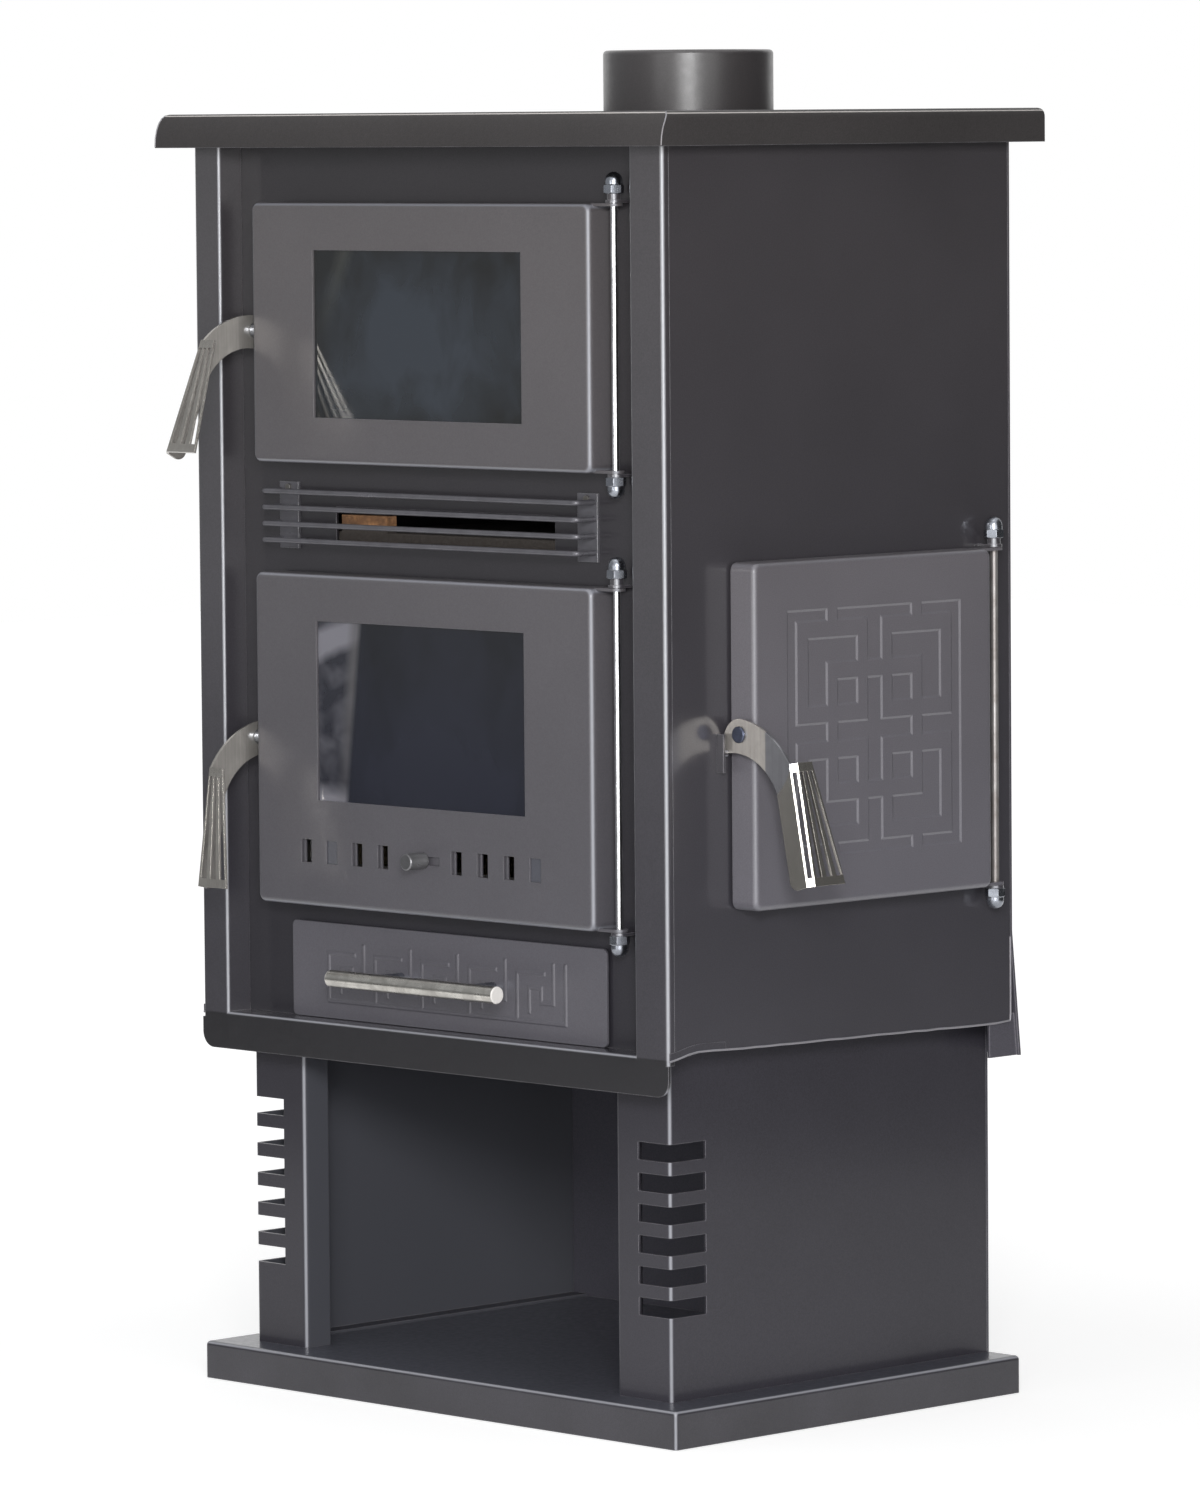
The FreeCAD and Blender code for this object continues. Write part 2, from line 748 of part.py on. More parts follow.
def make_door_seal(door):
    outer = sheet + seal_inset
    inner = outer + seal_width
    ring = rounded_slab(door["left"] + outer, door["right"] - outer, -liner_setback, -flat_gap,
                        door["bottom"] + outer, door["top"] - outer, seal_width)
    hole = rounded_slab(door["left"] + inner, door["right"] - inner, -liner_setback, -flat_gap,
                        door["bottom"] + inner, door["top"] - inner, seal_width / 2)
    return ring.cut(hole)


def lug_levels(door):
    """Lower faces of a door's two hinge lugs, just outside the door's ears."""
    return door["bottom"] - flat_gap - lug_thickness, door["top"] + flat_gap


def nut_seats(door):
    """Where the lower and the upper nut sit: under the lower lug, on the upper lug's bush."""
    low, high = lug_levels(door)
    return low, high + lug_thickness + lug_bush_height


def make_hinge_lugs(door):
    hinge_x, hinge_y = hinge_point(door)
    low, high = nut_seats(door)
    lugs = []
    for z0 in lug_levels(door):
        z1 = z0 + lug_thickness
        tab = block(hinge_x - ear_half_width, hinge_x + ear_half_width, hinge_y, 0, z0, z1)
        tip = rod(vec(hinge_x, hinge_y, z0), vec(hinge_x, hinge_y, z1), ear_half_width)
        lugs.append(tab.fuse(tip))
    bush = rod(vec(hinge_x, hinge_y, high - lug_bush_height), vec(hinge_x, hinge_y, high),
               lug_bush_radius)
    lugs[1] = lugs[1].fuse(bush)
    bore = rod(vec(hinge_x, hinge_y, low), vec(hinge_x, hinge_y, high), rod_radius)
    return [lug.cut(bore) for lug in lugs]


def make_hinge_rod(door):
    """The rod ends halfway into the nuts' hexagons."""
    hinge_x, hinge_y = hinge_point(door)
    low, high = nut_seats(door)
    return rod(vec(hinge_x, hinge_y, low - nut_hex_height / 2),
               vec(hinge_x, hinge_y, high + nut_hex_height / 2), rod_radius)


def make_nut(seat, direction):
    """Acorn nut that sits at the point seat and points up (1) or down (-1)."""
    corner_radius = nut_across_flats / math.sqrt(3)
    corners = [seat + vec(corner_radius * math.cos(k * math.pi / 3),
                          corner_radius * math.sin(k * math.pi / 3), 0) for k in range(6)]
    up = vec(0, 0, direction)
    base = seat + up * nut_hex_height
    body = prism(corners, up * nut_hex_height)
    wide = nut_dome_radius + nut_hex_height * math.sqrt(3)
    for end, inward in ((seat, up), (base, up * -1)):
        body = body.common(Part.makeCone(nut_dome_radius, wide, nut_hex_height, end, inward))
    crown = base + up * (nut_dome_height - nut_dome_radius)
    neck = rod(base, crown, nut_dome_radius)
    ball = Part.makeSphere(nut_dome_radius, crown)
    bore = rod(seat, seat + up * (nut_hex_height / 2), rod_radius)
    return fuse([body, neck, ball]).cut(bore)


def make_nuts(door):
    hinge_x, hinge_y = hinge_point(door)
    low, high = nut_seats(door)
    return [make_nut(vec(hinge_x, hinge_y, low), -1), make_nut(vec(hinge_x, hinge_y, high), 1)]


# ---- lever handles ----
def lever_x(door):
    """Near face of the lever's plate, beside the door's handle edge."""
    return door["left"] - lever_spacer


def lever_outline():
    """Edges of the lever's arm, in its own plane, at no lift.

    Its points are (outward, up) from the pivot."""
    def point(outward, up):
        return vec(0, -outward, up)

    def arc(start, middle, end):
        return Part.Arc(point(*start), point(*middle), point(*end)).toShape()

    heel_high, heel_low = (-14.6, -2.0), (-14.6, -12.9)
    crown, brow, shoulder = (0.0, 10.7), (-9.8, 6.9), (26.0, 1.7)
    fold_top, fold_bottom = (46.0, -17.3), (61.9, -99.2)
    toe_low, toe_round, toe_in = (53.6, -101.6), (48.4, -100.0), (45.9, -94.2)
    elbow_low, elbow_mid, elbow_high = (34.4, -37.4), (22.7, -22.7), (-4.9, -12.6)
    edges = [
        arc(heel_high, brow, crown),
        arc(crown, shoulder, fold_top),
        Part.makeLine(point(*fold_top), point(*fold_bottom)),
        Part.makeLine(point(*fold_bottom), point(*toe_low)),
        arc(toe_low, toe_round, toe_in),
        Part.makeLine(point(*toe_in), point(*elbow_low)),
        arc(elbow_low, elbow_mid, elbow_high),
        Part.makeLine(point(*elbow_high), point(*heel_low)),
        Part.makeLine(point(*heel_low), point(*heel_high)),
    ]
    return edges, point(*fold_top), point(*fold_bottom)


def grip_section(corner, outward, width):
    """Section of the grip: bevelled fold, then the face across the door."""
    thick = lever_thickness
    slant = thick * math.tan(math.pi / 8)
    places = [(0, 0), (grip_facet, grip_facet), (grip_facet + width, grip_facet),
              (grip_facet + width, grip_facet - thick), (grip_facet + slant, grip_facet - thick),
              (thick, -slant), (0, -slant)]
    points = [corner + vec(across, 0, 0) + outward * out for across, out in places]
    return Part.makePolygon(points + [points[0]])


def grip_slot_tools(corner, along, length, outward):
    """One slot in the bevelled fold and the rest in the grip's face, spread as it widens."""
    start, end = along * grip_slot_end, along * (length - grip_slot_end)
    slant = (vec(1, 0, 0) + outward).normalize()
    normal = (outward - vec(1, 0, 0)).normalize()
    middle = corner + slant * (grip_facet / math.sqrt(2)) - normal * through
    half = slant * facet_slot_half
    tools = [prism([middle + start - half, middle + start + half, middle + end + half,
                    middle + end - half], normal * (2 * through))]
    step_top, step_bottom = grip_width_top / grip_slots, grip_width_bottom / grip_slots
    base = corner + vec(grip_facet, 0, 0) - outward * through
    for index in range(grip_slots):
        top = base + start + vec((index + 0.5) * step_top, 0, 0)
        low = base + end + vec((index + 0.5) * step_bottom, 0, 0)
        half_top = vec(step_top * grip_slot_share / 2, 0, 0)
        half_low = vec(step_bottom * grip_slot_share / 2, 0, 0)
        tools.append(prism([top - half_top, top + half_top, low + half_low, low - half_low],
                           outward * (2 * through)))
    return tools


def make_lever(door):
    """Flat arm with a slotted grip that is folded across the door and widens downwards."""
    edges, fold_top, fold_bottom = lever_outline()
    arm = Part.Face(Part.Wire(edges)).extrude(vec(-lever_thickness, 0, 0))
    along = fold_bottom - fold_top
    length = along.Length
    along.normalize()
    outward = along.cross(vec(1, 0, 0))
    corner = fold_top + vec(-lever_thickness, 0, 0)
    grip = Part.makeLoft([grip_section(corner, outward, grip_width_top),
                          grip_section(corner + along * length, outward, grip_width_bottom)],
                         True, True)
    grip = cut(grip, grip_slot_tools(corner, along, length, outward))
    lever = arm.fuse(grip).removeSplitter()
    bore = rod(vec(-through, 0, 0), vec(through, 0, 0), lever_bolt_radius + pin_clearance)
    lever = lever.cut(bore)
    lever = lever.rotated(vec(0, 0, 0), vec(-1, 0, 0), door["lift"])
    return lever.translated(vec(lever_x(door), -lever_pivot_out, door["lever"]))


def make_lever_bolt(door):
    """Shouldered bolt: spacer against the door, shank through the lever, domed head."""
    pivot_y, pivot_z = -lever_pivot_out, door["lever"]
    door_face = door["left"]
    near_face = lever_x(door) + flat_gap
    far_face = lever_x(door) - lever_thickness - flat_gap
    spacer = rod(vec(door_face, pivot_y, pivot_z), vec(near_face, pivot_y, pivot_z),
                 lever_spacer_radius)
    shank = rod(vec(door_face + sheet + lever_nut_height, pivot_y, pivot_z),
                vec(far_face, pivot_y, pivot_z), lever_bolt_radius)
    head = rod(vec(far_face, pivot_y, pivot_z),
               vec(far_face - lever_head_height, pivot_y, pivot_z), lever_head_radius)
    crown = rings_at(head, lever_head_radius, lambda p: near(p.x, far_face - lever_head_height))
    head = head.makeFillet(lever_head_height / 2, crown)
    nut = rod(vec(door_face + sheet, pivot_y, pivot_z),
              vec(door_face + sheet + lever_nut_height, pivot_y, pivot_z), lever_spacer_radius)
    return fuse([spacer, shank, head, nut])


def make_keeper(door):
    """Upright plate on the panel beside the lever's tail, with the peg that the tail bears on."""
    near_x = lever_x(door) - lever_thickness - flat_gap
    far_x = near_x - keeper_reach
    plate = block(far_x - sheet, far_x, -keeper_out, 0, door["lever"] - keeper_height, door["lever"])
    peg_y = -keeper_out + keeper_peg_radius
    peg_z = door["lever"] - keeper_height / 2
    peg = rod(vec(far_x, peg_y, peg_z), vec(near_x, peg_y, peg_z), keeper_peg_radius)
    return plate.fuse(peg)


# ---- air slide ----
def air_slot_centres():
    centres = []
    for start in (air_slots_left, air_slots_right):
        for index in range(air_slots_each):
            centres.append(start + index * air_slot_pitch)
    return centres


def air_slot_tools(y0, y1, width):
    """The door's slots, or narrower ones that keep to their right edges."""
    z0, z1 = air_height - air_slot_height / 2, air_height + air_slot_height / 2
    edges = [x + air_slot_width / 2 for x in air_slot_centres()]
    return [block(x - width, x, y0, y1, z0, z1) for x in edges]


def make_fire_door_pan():
    pan = make_door_pan(fire_door)
    reach = air_shank_radius + air_shank_gap
    knob_slot = block(air_knob_x - reach, air_knob_x + air_travel + reach, face_out - through,
                      skin_back + flat_gap, air_height - reach, air_height + reach)
    slots = air_slot_tools(face_out - through, skin_back + flat_gap, air_slot_width)
    return cut(pan, slots + [knob_slot])


def make_fire_door_liner():
    liner = make_door_liner(fire_door)
    centres = air_slot_centres()
    window = block(min(centres) - air_slot_width, max(centres) + air_slot_width,
                   -liner_setback - through, -liner_setback + through,
                   air_height - air_slot_height / 2, air_height + air_slot_height / 2)
    return liner.cut(window)


def slide_bounds():
    centres = air_slot_centres()
    margin = air_slot_width / 2 + air_slide_margin
    return min(centres) - margin, max(centres) + margin


def make_air_slide():
    left, right = slide_bounds()
    y0 = skin_back + flat_gap
    plate = block(left, right, y0, y0 + air_slide_thickness,
                  air_height - air_slide_height / 2, air_height + air_slide_height / 2)
    return cut(plate, air_slot_tools(y0 - through, y0 + through, air_slide_slot_width))


def make_air_knob():
    y0 = skin_back + flat_gap
    shank = rod(vec(air_knob_x, y0, air_height), vec(air_knob_x, face_out - flat_gap, air_height),
                air_shank_radius)
    knob = rod(vec(air_knob_x, face_out - flat_gap, air_height),
               vec(air_knob_x, face_out - flat_gap - air_knob_length, air_height), air_knob_radius)
    tip = rings_at(knob, air_knob_radius, lambda p: p.y < face_out - air_knob_length / 2)
    knob = knob.makeFillet(edge_break, tip)
    return shank.fuse(knob).removeSplitter()


def make_air_guides():
    """Two rebated strips that hold the slide against the inside of the door's face."""
    left, right = slide_bounds()
    slide_back = skin_back + flat_gap + air_slide_thickness + flat_gap
    strips = []
    for sign in (-1, 1):
        edge = air_height + sign * (air_slide_height / 2 + flat_gap)
        outer = edge + sign * air_guide_height
        inner = edge - sign * air_guide_lip
        body = block(left, right + air_travel, skin_back, slide_back + liner_thickness,
                     min(edge, outer), max(edge, outer))
        lip = block(left, right + air_travel, slide_back, slide_back + liner_thickness,
                    min(inner, edge), max(inner, edge))
        strips.append(body.fuse(lip).removeSplitter())
    return strips


# ---- embossed fuel door ----
def dish(a0, a1, z0, z1):
    """Tool for a shallow pressing with sloped walls, sunk in the fuel door's face."""
    def frame(y, shrink):
        corners = [vec(a0 + shrink, y, z0 + shrink), vec(a1 - shrink, y, z0 + shrink),
                   vec(a1 - shrink, y, z1 - shrink), vec(a0 + shrink, y, z1 - shrink)]
        return Part.makePolygon(corners + [corners[0]])
    return Part.makeLoft([frame(face_out, 0), frame(face_out + fret_depth, fret_slope)], True, True)


def fret_cells():
    """Sunk cells of the lattice, as (left, right, bottom, top) from its middle.

    The right upper quarter is listed and mirrored both ways."""
    outer_a, outer_z = 85.5, 84.0
    band_a, band_z = 75.5, 75.0
    link_in, link_out = 37.0, 46.0
    quarter = [
        (0.0, link_in, band_z, outer_z),
        (link_out, outer_a, band_z, outer_z),
        (band_a, outer_a, 0.0, outer_z),
        (0.0, 7.5, 46.5, outer_z),
        (link_out, outer_a, 0.0, 7.0),
        (0.0, link_in, 0.0, 7.0),
        (0.0, 7.5, 0.0, 36.0),
        (16.5, 65.5, 46.5, 64.5),
        (link_out, 65.5, 17.5, 64.5),
        (16.5, link_in, 17.5, 36.0),
    ]
    cells = set()
    for left, right, bottom, top in quarter:
        spans_a = [(-right, right)] if left == 0 else [(left, right), (-right, -left)]
        spans_z = [(-top, top)] if bottom == 0 else [(bottom, top), (-top, -bottom)]
        for span_a in spans_a:
            for span_z in spans_z:
                cells.add(span_a + span_z)
    return sorted(cells)


def make_fuel_door_pan():
    pan = make_door_pan(fuel_door)
    middle_y = (fuel_door_front + fuel_door_rear) / 2
    middle_z = (fuel_door_bottom + fuel_door_top) / 2
    tools = [dish(middle_y + a0, middle_y + a1, middle_z + z0, middle_z + z1)
             for a0, a1, z0, z1 in fret_cells()]
    return pan.cut(tools[0].multiFuse(tools[1:]))


# ---- grille ----
def make_grille_wire(height):
    """One wire: its ends turn back to the strips on the panel."""
    y = -grille_out
    bend = grille_bend
    left, right = grille_left + grille_wire_radius, grille_right - grille_wire_radius
    end_y = -sheet
    turn = bend * (1 - math.cos(math.pi / 4))
    path = Part.Wire([
        Part.makeLine(vec(left, end_y, height), vec(left, y + bend, height)),
        Part.Arc(vec(left, y + bend, height), vec(left + turn, y + turn, height),
                 vec(left + bend, y, height)).toShape(),
        Part.makeLine(vec(left + bend, y, height), vec(right - bend, y, height)),
        Part.Arc(vec(right - bend, y, height), vec(right - turn, y + turn, height),
                 vec(right, y + bend, height)).toShape(),
        Part.makeLine(vec(right, y + bend, height), vec(right, end_y, height)),
    ])
    section = Part.Wire(Part.makeCircle(grille_wire_radius, vec(left, end_y, height), vec(0, 1, 0)))
    return path.makePipeShell([section], True, False)


def make_grille_wires():
    return [make_grille_wire(grille_bottom + k * grille_pitch) for k in range(grille_wires)]


def strip_centres():
    half = grille_strip_width / 2
    left = grille_left - grille_wire_radius / 2 + grille_strip_shift + half
    return left, grille_right - half + grille_wire_radius / 2


def make_grille_strips():
    half = grille_strip_width / 2
    return [block(x - half, x + half, -sheet, 0, grille_strip_bottom, grille_strip_top)
            for x in strip_centres()]


def make_grille_rivets():
    z = grille_strip_top - grille_rivet_inset
    return [rod(vec(x, -sheet, z), vec(x, -sheet - grille_rivet_height, z), grille_rivet_radius)
            for x in strip_centres()]


# ---- ash drawer, in the same frame as the front doors ----
def bead(x0, x1, z0, z1, face):
    """Raised line of the key pattern, with sloped walls."""
    def frame(y, shrink):
        corners = [vec(x0 + shrink, y, z0 + shrink), vec(x1 - shrink, y, z0 + shrink),
                   vec(x1 - shrink, y, z1 - shrink), vec(x0 + shrink, y, z1 - shrink)]
        return Part.makePolygon(corners + [corners[0]])
    return Part.makeLoft([frame(face, 0), frame(face - key_raise, key_slope)], True, True)


def key_lines():
    """Centre lines of the key pattern, as (x, z, x, z) from its lower left corner."""
    column = key_pitch / key_columns
    row = key_height / key_rows
    top = key_height - row
    hook = top - key_hook_drop * row
    lines = []
    for unit in range(key_units):
        x = unit * key_pitch
        lines += [
            (x, 0, x, top),
            (x, top, x + key_top_run * column, top),
            (x + column, row, x + column, hook),
            (x + column, hook, x + 2 * column, hook),
            (x + 2 * column, 2 * row, x + 2 * column, hook),
            (x + 2 * column, 2 * row, x + 3 * column, 2 * row),
            (x + 3 * column, 2 * row, x + 3 * column, key_height),
            (x, 0, x + key_pitch, 0),
        ]
    end = key_units * key_pitch
    lines.append((end, 0, end, key_height))
    return lines


def make_drawer_front():
    face = -drawer_out
    plate = rounded_slab(-drawer_half_width, drawer_half_width, face, face + sheet,
                         drawer_bottom, drawer_top, drawer_corner)
    half = key_line / 2
    beads = []
    for xa, za, xb, zb in key_lines():
        beads.append(bead(key_left + xa - half, key_left + xb + half,
                          key_bottom + za - half, key_bottom + zb + half, face))
    return plate.multiFuse(beads).removeSplitter()


def drawer_span():
    left, right, bottom, top = panel_holes()[3]
    return (left + drawer_box_gap, right - drawer_box_gap,
            floor_top + runner_height, top - drawer_box_gap)


def make_drawer_box():
    """Open-topped ash box behind the drawer's front."""
    left, right, bottom, top = drawer_span()
    y0 = -drawer_out + sheet
    y1 = y0 + drawer_length
    tray = block(left, right, y0, y1, bottom, top)
    hollow = block(left + drawer_wall, right - drawer_wall, y0 + drawer_wall, y1 - drawer_wall,
                   bottom + drawer_wall, top + through)
    return tray.cut(hollow)


def make_drawer_bar():
    y = -drawer_out - drawer_bar_out
    bar = rod(vec(-drawer_bar_half, y, drawer_bar_height),
              vec(drawer_bar_half, y, drawer_bar_height), drawer_bar_radius)
    ends = rings_at(bar, drawer_bar_radius, lambda p: near(abs(p.x), drawer_bar_half))
    return bar.makeFillet(edge_break, ends)


def make_drawer_posts():
    """Two posts, saddled on the bar and set on the drawer's front."""
    y = -drawer_out - drawer_bar_out
    saddle = rod(vec(-drawer_bar_half, y, drawer_bar_height),
                 vec(drawer_bar_half, y, drawer_bar_height), drawer_bar_radius)
    posts = []
    front = make_drawer_front()
    for x in (-drawer_post_x, drawer_post_x):
        post = rod(vec(x, y, drawer_bar_height), vec(x, -drawer_out, drawer_bar_height),
                   drawer_post_radius)
        posts.append(post.cut(saddle).cut(front))
    return posts


def make_drawer_runners():
    left, right, bottom, top = drawer_span()
    y1 = panel_back + drawer_length
    return [block(x, x + runner_width, panel_back, y1, floor_top, floor_top + runner_height)
            for x in (left, right - runner_width)]


# ---- oven ----
def oven_span():
    left, right, bottom, top = panel_holes()[0]
    return left, right, bottom, top, panel_back, panel_back + oven_length


def make_oven_box():
    left, right, bottom, top, front, back = oven_span()
    box = block(left - sheet, right + sheet, front, back + sheet, bottom - sheet, top + sheet)
    box = box.cut(block(left, right, front - through, back, bottom, top))
    low = oven_ledge_height - oven_ledge_thickness
    ledges = [block(left, left + oven_ledge, front, back, low, oven_ledge_height),
              block(right - oven_ledge, right, front, back, low, oven_ledge_height)]
    return fuse([box] + ledges)


def make_oven_rack():
    """Wire shelf that lies on the oven's two side ledges, its cross wires sunk in the rails."""
    left, right, bottom, top, front, back = oven_span()
    x0, x1 = left + rack_gap, right - rack_gap
    y0, y1 = front + rack_gap, back - rack_gap
    z = oven_ledge_height + rack_wire
    bars = [rod(vec(x, y0, z), vec(x, y1, z), rack_wire)
            for x in (x0 + rack_wire, x1 - rack_wire)]
    step = (y1 - y0 - 2 * rack_end) / (rack_wires - 1)
    for index in range(rack_wires):
        y = y0 + rack_end + index * step
        bars.append(rod(vec(x0, y, z + rack_sink), vec(x1, y, z + rack_sink), rack_wire))
    return fuse(bars)


# ---- firebox ----
def make_ash_channel():
    """Three walls round the ash drawer that carry the firebox."""
    left, right, bottom, top = drawer_span()
    x0, x1 = left - flat_gap - channel_wall, right + flat_gap + channel_wall
    y1 = panel_back + drawer_length + runner_width
    walls = block(x0, x1, panel_back, y1 + channel_wall, floor_top, firebox_bottom)
    return walls.cut(block(x0 + channel_wall, x1 - channel_wall, panel_back - through, y1,
                           floor_top, firebox_bottom))


def fuel_hole():
    return (fuel_door_front + opening_inset, fuel_door_rear - opening_inset,
            fuel_door_bottom + opening_inset, fuel_door_top - opening_inset)


def make_firebox_shell():
    wall = firebox_wall
    shell = block(firebox_left, firebox_right, panel_back, firebox_rear,
                  firebox_bottom, firebox_top)
    hollow = block(firebox_left + wall, firebox_right - wall, panel_back - through,
                   firebox_rear - wall, firebox_bottom + wall, firebox_top - wall)
    y0, y1, z0, z1 = fuel_hole()
    side_hole = block(firebox_right - through, firebox_right + through, y0, y1, z0, z1)
    smoke_hole = block(-smoke_hole_width / 2, smoke_hole_width / 2, smoke_front,
                       smoke_front + smoke_hole_depth, firebox_top - through,
                       firebox_top + through)
    half_w, half_d = grate_width / 2 - grate_lip, grate_depth / 2 - grate_lip
    grate_hole = block(-half_w, half_w, grate_y - half_d, grate_y + half_d,
                       firebox_bottom - through, firebox_bottom + through)
    return cut(shell, [hollow, side_hole, smoke_hole, grate_hole])


def make_fuel_chute():
    """Short tunnel from the side panel to the firebox."""
    y0, y1, z0, z1 = fuel_hole()
    outer = block(firebox_right, inner_x, y0 - sheet, y1 + sheet, z0 - sheet, z1 + sheet)
    return outer.cut(block(firebox_right - through, inner_x + through, y0, y1, z0, z1))


def make_brick_left():
    x0 = firebox_left + firebox_wall
    z0 = firebox_bottom + firebox_wall
    return block(x0, x0 + brick_thickness, panel_back, firebox_rear - firebox_wall,
                 z0, z0 + brick_height)


def make_brick_back():
    y1 = firebox_rear - firebox_wall
    z0 = firebox_bottom + firebox_wall
    return block(firebox_left + firebox_wall + brick_thickness, firebox_right - firebox_wall,
                 y1 - brick_thickness, y1, z0, z0 + brick_height)


def make_brick_right():
    """Low bricks under the fuel opening."""
    x1 = firebox_right - firebox_wall
    z0 = firebox_bottom + firebox_wall
    return block(x1 - brick_thickness, x1, panel_back, firebox_rear - firebox_wall - brick_thickness,
                 z0, fuel_hole()[2])


def make_grate():
    z0 = firebox_bottom + firebox_wall
    grate = block(-grate_width / 2, grate_width / 2, grate_y - grate_depth / 2,
                  grate_y + grate_depth / 2, z0, z0 + grate_thickness)
    length = grate_depth / 2 - grate_margin
    count = int((grate_width - 2 * grate_margin) / grate_pitch)
    slots = []
    for index in range(count):
        x = (index - (count - 1) / 2) * grate_pitch
        slots.append(block(x - grate_slot / 2, x + grate_slot / 2, grate_y - length,
                           grate_y + length, z0 - through, z0 + through))
    return cut(grate, slots)


def make_insulation_board():
    """Board on top of the firebox; its raised left end is seen through the vent."""
    board_top = firebox_top + board_thickness
    board = block(vent_left, vent_right, panel_back + board_front_gap, smoke_front - flat_gap,
                  firebox_top, board_top)
    end_left = vent_left + board_end_inset
    end_front = panel_back + board_front_gap
    end = block(end_left, end_left + board_end_width, end_front, end_front + board_end_depth,
                board_top, board_top + board_end_height)
    return board.fuse(end)


# ---- every piece ----
def main():
    group = Part.makeCompound
    save(make_plinth(), "plinth")
    save(make_plinth_stiffener(), "plinth_stiffener")
    right_store = make_store_side()
    save(right_store, "wood_store_right")
    save(right_store.mirror(vec(0, 0, 0), vec(1, 0, 0)), "wood_store_left")
    save(make_store_back(), "wood_store_back")
    save(make_body_floor(), "body_floor")
    save(make_side_panel(-side_x, -inner_x), "left_side_panel")
    save(make_right_panel(), "right_side_panel")
    save(make_rear_panel(), "rear_panel")
    save(make_front_frame(), "front_frame")
    save(make_front_panel(), "front_panel")
    save(make_hob_top(), "hob_top")
    save(make_cooking_plate(), "cooking_plate")
    save(make_flue_collar(), "flue_collar")
    save(make_oven_box(), "oven_box")
    save(make_oven_rack(), "oven_rack")
    save(make_ash_channel(), "ash_channel")
    save(make_firebox_shell(), "firebox_shell")
    save(make_fuel_chute(), "fuel_chute")
    save(make_brick_left(), "firebrick_left")
    save(make_brick_back(), "firebrick_back")
    save(make_brick_right(), "firebrick_right")
    save(make_grate(), "grate")
    save(make_insulation_board(), "insulation_board")

    save(group([on_front(wire) for wire in make_grille_wires()]), "grille_wires")
    save(group([on_front(strip) for strip in make_grille_strips()]), "grille_strips")
    save(group([on_front(rivet) for rivet in make_grille_rivets()]), "grille_rivets")

    lugs, nuts, keepers = [], [], []
    for name, door, put in (("oven", oven_door, on_front), ("fire", fire_door, on_front),
                            ("fuel", fuel_door, on_side)):
        save(put(make_hinge_rod(door)), name + "_hinge_rod")
        save(put(make_door_seal(door)), name + "_door_seal")
        save(put(make_lever(door)), name + "_handle")
        save(put(make_lever_bolt(door)), name + "_handle_bolt")
        if door["glass"]:
            save(put(make_door_glass(door)), name + "_door_glass")
            save(put(make_glass_frame(door)), name + "_glass_frame")
        lugs += [put(lug) for lug in make_hinge_lugs(door)]
        nuts += [put(nut) for nut in make_nuts(door)]
        keepers.append(put(make_keeper(door)))
    save(group(lugs), "hinge_lugs")
    save(group(nuts), "acorn_nuts")
    save(group(keepers), "latch_keepers")

    save(on_front(make_door_pan(oven_door)), "oven_door_pan")
    save(on_front(make_door_liner(oven_door)), "oven_door_liner")
    save(on_front(make_fire_door_pan()), "fire_door_pan")
    save(on_front(make_fire_door_liner()), "fire_door_liner")
    save(on_side(make_fuel_door_pan()), "fuel_door_pan")
    save(on_side(make_door_liner(fuel_door)), "fuel_door_liner")
    save(on_front(make_air_slide()), "air_slide")
    save(on_front(make_air_knob()), "air_knob")
    save(group([on_front(strip) for strip in make_air_guides()]), "air_slide_guides")

    save(on_front(make_drawer_front()), "drawer_front")
    save(on_front(make_drawer_box()), "drawer_box")
    save(on_front(make_drawer_bar()), "drawer_bar")
    save(group([on_front(post) for post in make_drawer_posts()]), "drawer_posts")
    save(group(make_drawer_runners()), "drawer_runners")


main()
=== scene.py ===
import math
import random
import bmesh
import bpy
from mathutils import Matrix, Vector


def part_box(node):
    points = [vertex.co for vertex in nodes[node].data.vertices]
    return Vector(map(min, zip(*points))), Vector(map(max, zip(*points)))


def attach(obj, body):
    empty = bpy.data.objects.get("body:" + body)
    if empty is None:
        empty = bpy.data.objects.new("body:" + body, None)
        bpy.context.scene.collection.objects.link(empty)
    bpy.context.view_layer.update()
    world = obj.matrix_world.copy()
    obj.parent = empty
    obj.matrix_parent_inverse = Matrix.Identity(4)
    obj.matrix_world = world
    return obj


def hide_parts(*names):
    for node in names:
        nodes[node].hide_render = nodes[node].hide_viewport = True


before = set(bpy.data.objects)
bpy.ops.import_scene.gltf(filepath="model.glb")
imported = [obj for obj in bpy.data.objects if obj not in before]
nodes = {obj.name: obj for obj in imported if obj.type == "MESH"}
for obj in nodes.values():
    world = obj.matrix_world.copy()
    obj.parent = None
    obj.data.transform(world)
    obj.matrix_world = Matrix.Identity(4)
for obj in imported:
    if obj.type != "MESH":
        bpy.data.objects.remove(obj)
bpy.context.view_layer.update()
print("cooker frame loaded:", len(nodes), "nodes")


# node shorthand
def addNode(tree, kind, values=None, **settings):
    made = tree.nodes.new("ShaderNode" + kind)
    for key, value in settings.items():
        setattr(made, key, value)
    for key, value in (values or {}).items():
        if isinstance(value, bpy.types.NodeSocket):
            tree.links.new(value, made.inputs[key])
        else:
            made.inputs[key].default_value = value
    return made


def startMaterial(name):
    material = bpy.data.materials.new(name)
    material.use_nodes = True
    tree = material.node_tree
    return material, tree, tree.nodes["Principled BSDF"]


def place(tree, stretch=(1, 1, 1), turn=(0, 0, 0)):
    # object coordinates, stretched for grain that runs one way
    point = addNode(tree, "TexCoord").outputs["Object"]
    return addNode(tree, "Mapping", {"Vector": point, "Scale": stretch, "Rotation": turn}).outputs[0]


